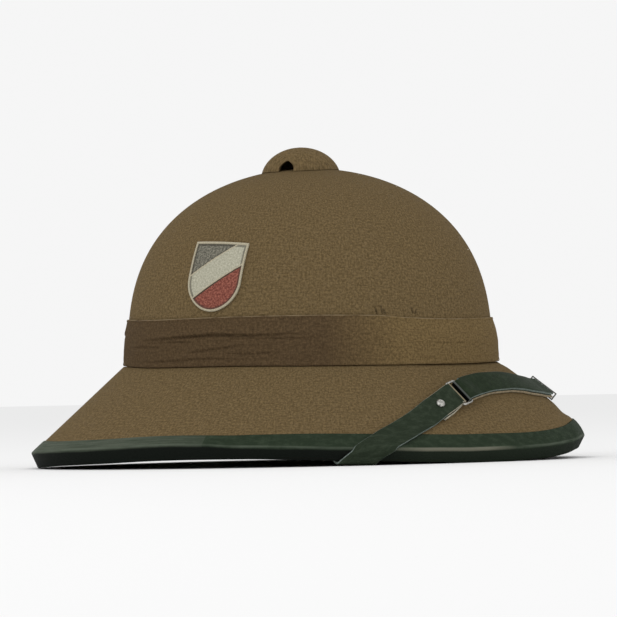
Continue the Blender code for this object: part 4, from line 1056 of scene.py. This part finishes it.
def strap_piece(name, rows, paint, node, fold_row):
    """A strap with its thickness, its corners eased, from rows of points along its middle.

    Its texture counts the distance from the row at its fold.
    """
    grid = np.array([[tuple(point) for point in row] for row in rows])
    along = np.gradient(grid, axis=0)
    across = np.gradient(grid, axis=1)
    normals = np.cross(along, across)
    normals /= np.linalg.norm(normals, axis=2, keepdims=True)
    half = np.array([thick for _, thick in STRAP_SECTION])[None, :, None] * STRAP_THICK / 2
    loops = np.concatenate([grid + normals * half, (grid - normals * half)[:, ::-1]], axis=1)
    count = len(STRAP_SECTION)
    marks = measured([Vector(row[count // 2]) for row in grid])
    wide = [share * STRAP_WIDTH / 2 for share, _ in STRAP_SECTION]
    wide += [STRAP_WIDTH + share * STRAP_WIDTH / 2 for share, _ in STRAP_SECTION]
    wide.append(wide[-1] + STRAP_THICK)
    strap = grid_piece(name, [[Vector(point) for point in loop] for loop in loops],
                       lambda i, j: (marks[i] - marks[fold_row], wide[j]), paint,
                       wrap_columns=True, smooth=40.0)
    close_ends(strap)
    settle(strap, "strap_leather", node)


def strap_paint(name, tones, grain, roughness, depth, back_tone, pale_from, fold_highlight_tone, fold_at):
    """Strap leather, smooth or pebbled, with its cut edges paler, most of all past its fold, painted shade
    over the fold and a painted highlight line along it.
    """
    paint = leather_paint(name, *tones, grain, roughness)
    x, y, _ = paint.split(paint.uv)
    half = STRAP_WIDTH / 2
    edges = paint.plus(paint.within(y, half * 0.985, half * 1.02, 0.00012),
                       paint.within(y, -half * 1.02, -half * 0.985, 0.00012))
    edges = paint.plus(edges, paint.span(y, STRAP_WIDTH + half * 0.97, STRAP_WIDTH + half * 0.99))
    rough = paint.span(paint.streaks(700.0, 700.0), 0.3, 0.62, 0.5, 1.0)
    past = paint.span(x, 0.0, 0.001)
    back_end = STRAP_WIDTH + half - RAW_EDGE
    border = paint.plus(paint.within(y, half, half + RAW_EDGE, 0.0001),
                        paint.span(y, back_end, back_end + 0.0001))
    edges = paint.math("MAXIMUM", edges, paint.times(past, border))
    edge_tone = paint.fade(x, pale_from, pale_from + 0.001, EDGE_BLUE, back_tone)
    # Painted shade: near black over the fold round the loop's bar
    tone = paint.mix(paint.within(x, -0.0005, 0.0032, 0.0004), paint.tone, FOLD_PAINTED_SHADE)
    # Painted highlight: a thin paler line along the fold; on the short strap it is tan, partly the raw
    # leather worn through there
    fold = paint.within(x, fold_at, fold_at + 0.0005, 0.0002)
    tone = paint.mix(paint.times(fold, 0.8), tone, fold_highlight_tone)
    tone = paint.mix(paint.times(edges, rough), tone, edge_tone)
    paint.set("Base Color", tone)
    paint.set("Normal", paint.bump(paint.height, depth, 0.8))
    return paint


def make_short_strap():
    """The strap on the wearer's right: round the rim, up to the loop, round its bar and back."""
    way = Way(SHORT_WAY)
    loop_place = frame_on(way, way.length, LOW_LAYER + FOLD_RADIUS)
    flat_start = way.length - LOOP_SPAN / 2 - FOLD_RADIUS
    tail_end = way.length - LOOP_SPAN / 2 - FOLD_TAIL
    rivet_place = way.length - LOOP_SPAN / 2 - RIVET_BACK
    rise_start = rivet_place + RIVET_HEAD * 0.6
    rows = []
    for place in places_between(0.0, flat_start - STATION):
        over_tail = NEXT_LAYER * ease((place - tail_end + STRAP_LIFT) / STRAP_LIFT)
        over_bar = (2 * FOLD_RADIUS - NEXT_LAYER) * ease((place - rise_start) / (flat_start - rise_start))
        rows.append(fine_row(way, place, under_lift(way, place) + over_tail + over_bar, rim_skew(way, place)))
    fold_row = len(rows) + 1 + FOLD_STEPS // 2
    rows += fine_fold(loop_place)
    for place in places_between(flat_start - STATION, tail_end):
        aside = TAIL_ASIDE * ease((flat_start - place) / STRAP_LIFT)
        rows.append(fine_row(way, place, LOW_LAYER, 0.0, aside))
    paint = strap_paint("strap_pebbled", PEBBLED, 1150.0, 0.5, 0.00022,
                        EDGE_PALE, -FOLD_TAIL, EDGE_TAN, -0.0029)
    strap_piece("strap_short_leather", rows, paint, "strap_short", fold_row)
    return loop_place


def make_long_strap(loop_place):
    """The strap on the wearer's left: round the rim, across the front, round the loop and back."""
    way = Way(LONG_WAY)
    flat_start = way.length - LOOP_SPAN / 2 - FOLD_RADIUS
    slide_place = way.find(SLIDE_BEARING)
    slide = frame_on(way, slide_place, 0.0)
    slide_low = SLIDE_FLOOR + LOW_LAYER
    half = SLIDE_LENGTH / 2 + STRAP_THICK
    rimward = -1 if slide.to_3x3().col[1].z > 0 else 1

    def settling(place):
        return SLIDE_FLOOR * (1 - ease((place - slide_place - half) / STRAP_LIFT))

    rows = []
    for place in places_between(0.0, slide_place - half - STRAP_STEP / 2):
        climb = ease((place - slide_place + half + 2 * STRAP_LIFT) / (2 * STRAP_LIFT))
        top = under_lift(way, place) + (slide_low + NEXT_LAYER - LOW_LAYER) * climb
        rows.append(fine_row(way, place, top, rim_skew(way, place), TOP_ASIDE * climb))
    for x in places_between(-half, half):
        rows.append(fine_flat(slide, x, slide_low + NEXT_LAYER + CLEARANCE * 0.7, rimward * TOP_ASIDE))
    after_slide = slide_place + half + STRAP_STEP / 2
    for place in places_between(after_slide, flat_start - STATION):
        over_bar = (2 * FOLD_RADIUS - NEXT_LAYER) * ease((place - flat_start + STRAP_LIFT) / STRAP_LIFT)
        aside = TOP_ASIDE * (1 - ease((place - after_slide) / STRAP_LIFT))
        rows.append(fine_row(way, place, LOW_LAYER + NEXT_LAYER + settling(place) + over_bar, 0.0, aside))
    fold_row = len(rows) + 1 + FOLD_STEPS // 2
    rows += fine_fold(loop_place @ Matrix.Rotation(math.pi, 4, "Z"))
    for place in places_between(flat_start - STATION, after_slide):
        aside = SLIDE_ASIDE + (LAYER_ASIDE - SLIDE_ASIDE) * ease((place - after_slide) / STRAP_LIFT)
        aside *= ease((flat_start - place) / STRAP_LIFT)
        rows.append(fine_row(way, place, LOW_LAYER + settling(place), 0.0, aside))
    for x in places_between(half, -half - END_PAST_SLIDE):
        rows.append(fine_flat(slide, x, slide_low, rimward * SLIDE_ASIDE))
    paint = strap_paint("strap_smooth", SMOOTH, 1500.0, 0.45, 0.00008, EDGE_TAN, 0.0, FOLD_HIGHLIGHT_GREY, -0.0013)
    strap_piece("strap_long_leather", rows, paint, "strap_long", fold_row)


# Badge

BADGE_ROUND = 1.9           # exponent of its lower outline, where 2 is an ellipse
# Height on its face at which that outline starts
BADGE_SPRING = BADGE_HEIGHT / 2 - BADGE_SHOULDER * BADGE_HEIGHT * 1.33
# Its rings of points, as shares of its outline
BADGE_RINGS = (0.05, 0.12, 0.2, 0.28, 0.36, 0.44, 0.52, 0.6, 0.68, 0.75, 0.81, 0.86, 0.895, 0.915, 0.93,
               0.945, 0.96, 0.975, 0.99, 1.0)


def badge_edge():
    """The badge's outline, clockwise from its top's left end."""
    top, half = BADGE_HEIGHT / 2, BADGE_WIDTH / 2
    outline = [Vector((half * (k / 12 * 2 - 1), top)) for k in range(13)]
    right = [Vector((half, BADGE_SPRING + (top - BADGE_SPRING) * (1 - k / 10))) for k in range(1, 11)]
    for i in range(1, 19):
        down = math.sin(math.pi / 2 * i / 18)
        width = half * max(1 - down ** BADGE_ROUND, 0.0) ** (1 / BADGE_ROUND)
        right.append(Vector((width, BADGE_SPRING - (BADGE_SPRING + top) * down)))
    left = [Vector((-point.x, point.y)) for point in right[-2::-1]]
    return outline + right + left


def make_badge():
    """The shield: one bent sheet with a raised border and two slanting ridges between its fields."""
    place = BadgePlace()
    outline = badge_edge()
    slant = Vector((math.cos(math.radians(BADGE_SLANT)), math.sin(math.radians(BADGE_SLANT))))
    rings, flats = [], []
    for share in BADGE_RINGS:
        flats.append([point * share for point in outline])
        ring = []
        for flat in flats[-1]:
            inside = (1 - share) * BADGE_WIDTH / 2
            border = BADGE_RELIEF * ease((BADGE_BORDER * 1.15 - inside) / (BADGE_BORDER * 0.35))
            if share > 0.985:
                border -= 0.0003 * (share - 0.985) / 0.015
            ridges = 0.0
            for band in BADGE_BANDS:
                off = (flat - Vector((0.0, band * BADGE_HEIGHT))).dot(left_of(slant))
                ridges = max(ridges, BADGE_RELIEF * 0.8 * math.exp(-(off / BADGE_RIDGE * 1.2) ** 4))
            ring.append(place.point(flat, BADGE_PLATE + max(border, ridges)))
        rings.append(ring)
    for share in (1.0, 0.5):
        rings.append([place.point(point * share, 0.0) for point in outline])
        flats.append([point * 1.02 for point in outline])
    badge = grid_piece("badge_shield", rings, lambda i, j: flats[i][j % len(outline)], badge_paint(slant),
                       wrap_columns=True, smooth=40.0)
    close_ends(badge)
    settle(badge, "badge_metal", "badge")


def badge_paint(slant):
    """Three painted fields, speckled as worn enamel, in a pale metal border, with painted shade just inside
    the border and beside the two ridges.
    """
    paint = Paint("badge_enamel", 0.5)
    x, y, _ = paint.split(paint.uv)
    upward = paint.plus(paint.times(x, -slant.y), paint.times(y, slant.x))
    upper, lower = (share * BADGE_HEIGHT * slant.x for share in BADGE_BANDS)
    specks = paint.noise(paint.uv, 850.0, 3.0, 0.8)
    grime = paint.noise(paint.uv, 2600.0, 2.0, 0.7)
    dark = paint.fade(specks, 0.38, 0.64, *BADGE_DARK)
    pale = paint.fade(specks, 0.38, 0.64, *BADGE_PALE)
    red = paint.fade(specks, 0.40, 0.64, *BADGE_RED)
    tone = paint.fade(upward, upper - 0.0001, upper + 0.0001, pale, dark)
    tone = paint.fade(upward, lower - 0.0001, lower + 0.0001, red, tone)
    ridge = paint.plus(*(paint.within(upward, middle - BADGE_RIDGE * 0.4, middle + BADGE_RIDGE * 0.4, 0.0002)
                         for middle in (upper, lower)))
    border = edge_share(paint, x, y)
    metal = paint.math("MAXIMUM", ridge, border)
    # Painted shade: a dark line just inside the raised border
    border_shade = paint.minus(edge_share(paint, x, y, 0.0011), border)
    tone = paint.mix(paint.times(border_shade, 0.6), tone, BADGE_PAINTED_SHADE)
    # Painted shade: a dark line beside each of the two ridges
    for low, share in ((lower - BADGE_RIDGE * 1.3, 0.95), (upper + BADGE_RIDGE * 0.5, 0.5)):
        line = paint.within(upward, low, low + BADGE_RIDGE * 0.75, 0.0002)
        tone = paint.mix(paint.times(line, share), tone, BADGE_PAINTED_SHADE)
    bright = paint.fade(grime, 0.42, 0.66, *BADGE_RIM, 0.9)
    paint.set("Base Color", paint.mix(metal, tone, bright))
    paint.set("Specular IOR Level", 0.2)
    paint.set("Normal", paint.bump(specks, 0.00025, 0.8))
    return paint


def edge_share(paint, x, y, more=0.0):
    """1 on the badge's border and 0 on its fields, from the outline's own proportions."""
    top = BADGE_HEIGHT / 2
    reach = 1 - 2 * (BADGE_BORDER + more) / BADGE_WIDTH
    wide = paint.math("DIVIDE", paint.math("ABSOLUTE", x), BADGE_WIDTH / 2)
    below = paint.math("DIVIDE", paint.minus(BADGE_SPRING, y), BADGE_SPRING + top)
    wide, below = (paint.math("POWER", share, BADGE_ROUND) for share in (wide, paint.math("MAXIMUM", below)))
    rounded_part = paint.math("POWER", paint.plus(wide, below), 1 / BADGE_ROUND)
    worst = paint.math("MAXIMUM", rounded_part, paint.math("DIVIDE", y, top))
    return paint.span(worst, reach - 0.006, reach + 0.006)


# Camera, stage and light

SENSOR_WIDTH = 36.0
NEAREST = 0.05              # nothing nearer to the camera is drawn
FLOOR_RADIUS = 60.0
FLOOR_SIDES = 64
WHITE = (1.0, 1.0, 1.0, 1.0)
SKY_STRENGTH = 0.92
KEY_PLACE = Vector((-1.2, -1.6, 2.4))
KEY_TARGET = Vector((0.0, 0.0, 0.08))
KEY_SIZE = 1.8
KEY_POWER = 14.0


def make_camera():
    """The camera, level with the helmet and turned a little about its own axis."""
    camera_data = bpy.data.cameras.new("camera")
    forward = (CAMERA_TARGET - CAMERA_PLACE).normalized()
    right = Vector((math.cos(CAMERA_ROLL), 0.0, -math.sin(CAMERA_ROLL)))
    right = (right - forward * right.dot(forward)).normalized()
    up = right.cross(forward)
    camera_data.sensor_width = SENSOR_WIDTH
    camera_data.lens = SENSOR_WIDTH * (CAMERA_TARGET - CAMERA_PLACE).length / VIEW_WIDTH
    camera_data.clip_start = NEAREST
    camera = bpy.data.objects.new("camera", camera_data)
    camera.matrix_world = Matrix((right, up, -forward)).transposed().to_4x4()
    camera.location = CAMERA_PLACE
    bpy.context.scene.collection.objects.link(camera)
    bpy.context.scene.camera = camera


def make_stage():
    """A wide pale floor."""
    paint = Paint("stage", 0.9)
    paint.set("Base Color", (0.9, 0.9, 0.9))
    paint.set("Specular IOR Level", 0.0)
    shape = bmesh.new()
    turns = [math.tau * i / FLOOR_SIDES for i in range(FLOOR_SIDES)]
    shape.faces.new([shape.verts.new((FLOOR_RADIUS * math.cos(turn), FLOOR_RADIUS * math.sin(turn), 0.0))
                     for turn in turns])
    floor = object_from("floor", shape)
    floor.data.materials.append(paint.material)


def make_light():
    """A soft studio light, and an even white surround."""
    light_data = bpy.data.lights.new("key", "AREA")
    light_data.shape = "DISK"
    light_data.size = KEY_SIZE
    light_data.energy = KEY_POWER
    light = bpy.data.objects.new("key", light_data)
    light.location = KEY_PLACE
    light.rotation_euler = (KEY_TARGET - KEY_PLACE).to_track_quat("-Z", "Y").to_euler()
    bpy.context.scene.collection.objects.link(light)
    world = bpy.data.worlds.new("studio")
    world.use_nodes = True
    background = world.node_tree.nodes["Background"].inputs
    background["Color"].default_value = WHITE
    background["Strength"].default_value = SKY_STRENGTH
    bpy.context.scene.world = world
    bpy.context.scene.view_settings.view_transform = "Standard"


# Colours: of cloth, its middle, light and dark tones; of leather, its middle and light ones
CANVAS = ((0.150, 0.104, 0.048), (0.182, 0.130, 0.066), (0.112, 0.076, 0.034))
CANVAS_RUBBED = (0.22, 0.165, 0.095)
BAND = ((0.088, 0.057, 0.029), (0.108, 0.072, 0.038), (0.064, 0.041, 0.021))
BAND_AHEAD = (1.86, 1.95, 1.68)     # times those at the front, where the band is paler
LEATHER = ((0.0245, 0.0360, 0.0220), (0.047, 0.064, 0.041))
LEATHER_WORN = (0.115, 0.130, 0.100)
# Painted highlight just above the rim's crease
LEATHER_CREASE_HIGHLIGHT = (0.11, 0.13, 0.10)
LEATHER_GLEAM = (0.17, 0.165, 0.125)
# Painted shade below the rim's crease, at the sides and back, then at the front
LEATHER_SHADE_SIDES = (0.0085, 0.0105, 0.0085)
LEATHER_SHADE_FRONT = (0.016, 0.022, 0.015)
SMOOTH = ((0.0185, 0.0280, 0.0155), (0.034, 0.049, 0.028))
PEBBLED = ((0.0270, 0.0375, 0.0235), (0.053, 0.069, 0.046))
EDGE_PALE = (0.52, 0.48, 0.38)
EDGE_BLUE = (0.20, 0.24, 0.22)
# Raw cut edges; also the short strap's fold line, partly painted highlight
EDGE_TAN = (0.36, 0.29, 0.19)
# Painted highlight along the long strap's fold
FOLD_HIGHLIGHT_GREY = (0.12, 0.13, 0.12)
# Painted shade over the straps' folds
FOLD_PAINTED_SHADE = (0.004, 0.004, 0.004)
BADGE_DARK = ((0.045, 0.043, 0.033), (0.25, 0.235, 0.18))
BADGE_PALE = ((0.30, 0.29, 0.22), (0.50, 0.48, 0.37))
BADGE_RED = ((0.11, 0.020, 0.013), (0.34, 0.115, 0.075))
BADGE_RIM = ((0.52, 0.47, 0.34), (0.17, 0.14, 0.09))
# Painted shade inside the badge's border and beside its ridges
BADGE_PAINTED_SHADE = (0.035, 0.028, 0.018)

make_camera()
make_stage()
make_light()

canvas = make_crown()
make_brim(canvas)
make_binding()
make_band()
make_vent_cap(canvas)
make_long_strap(make_short_strap())
make_badge()
bright = metal_paint("nickel", (0.58, 0.57, 0.53), 0.3)
dull = metal_paint("dull_nickel", (0.17, 0.17, 0.155), 0.5)
for name, metal in (("strap_loop", bright), ("strap_rivet", bright), ("strap_slide", dull),
                    ("strap_stud_left", dull), ("strap_stud_right", dull)):
    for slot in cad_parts[name].material_slots:
        slot.material = metal.material
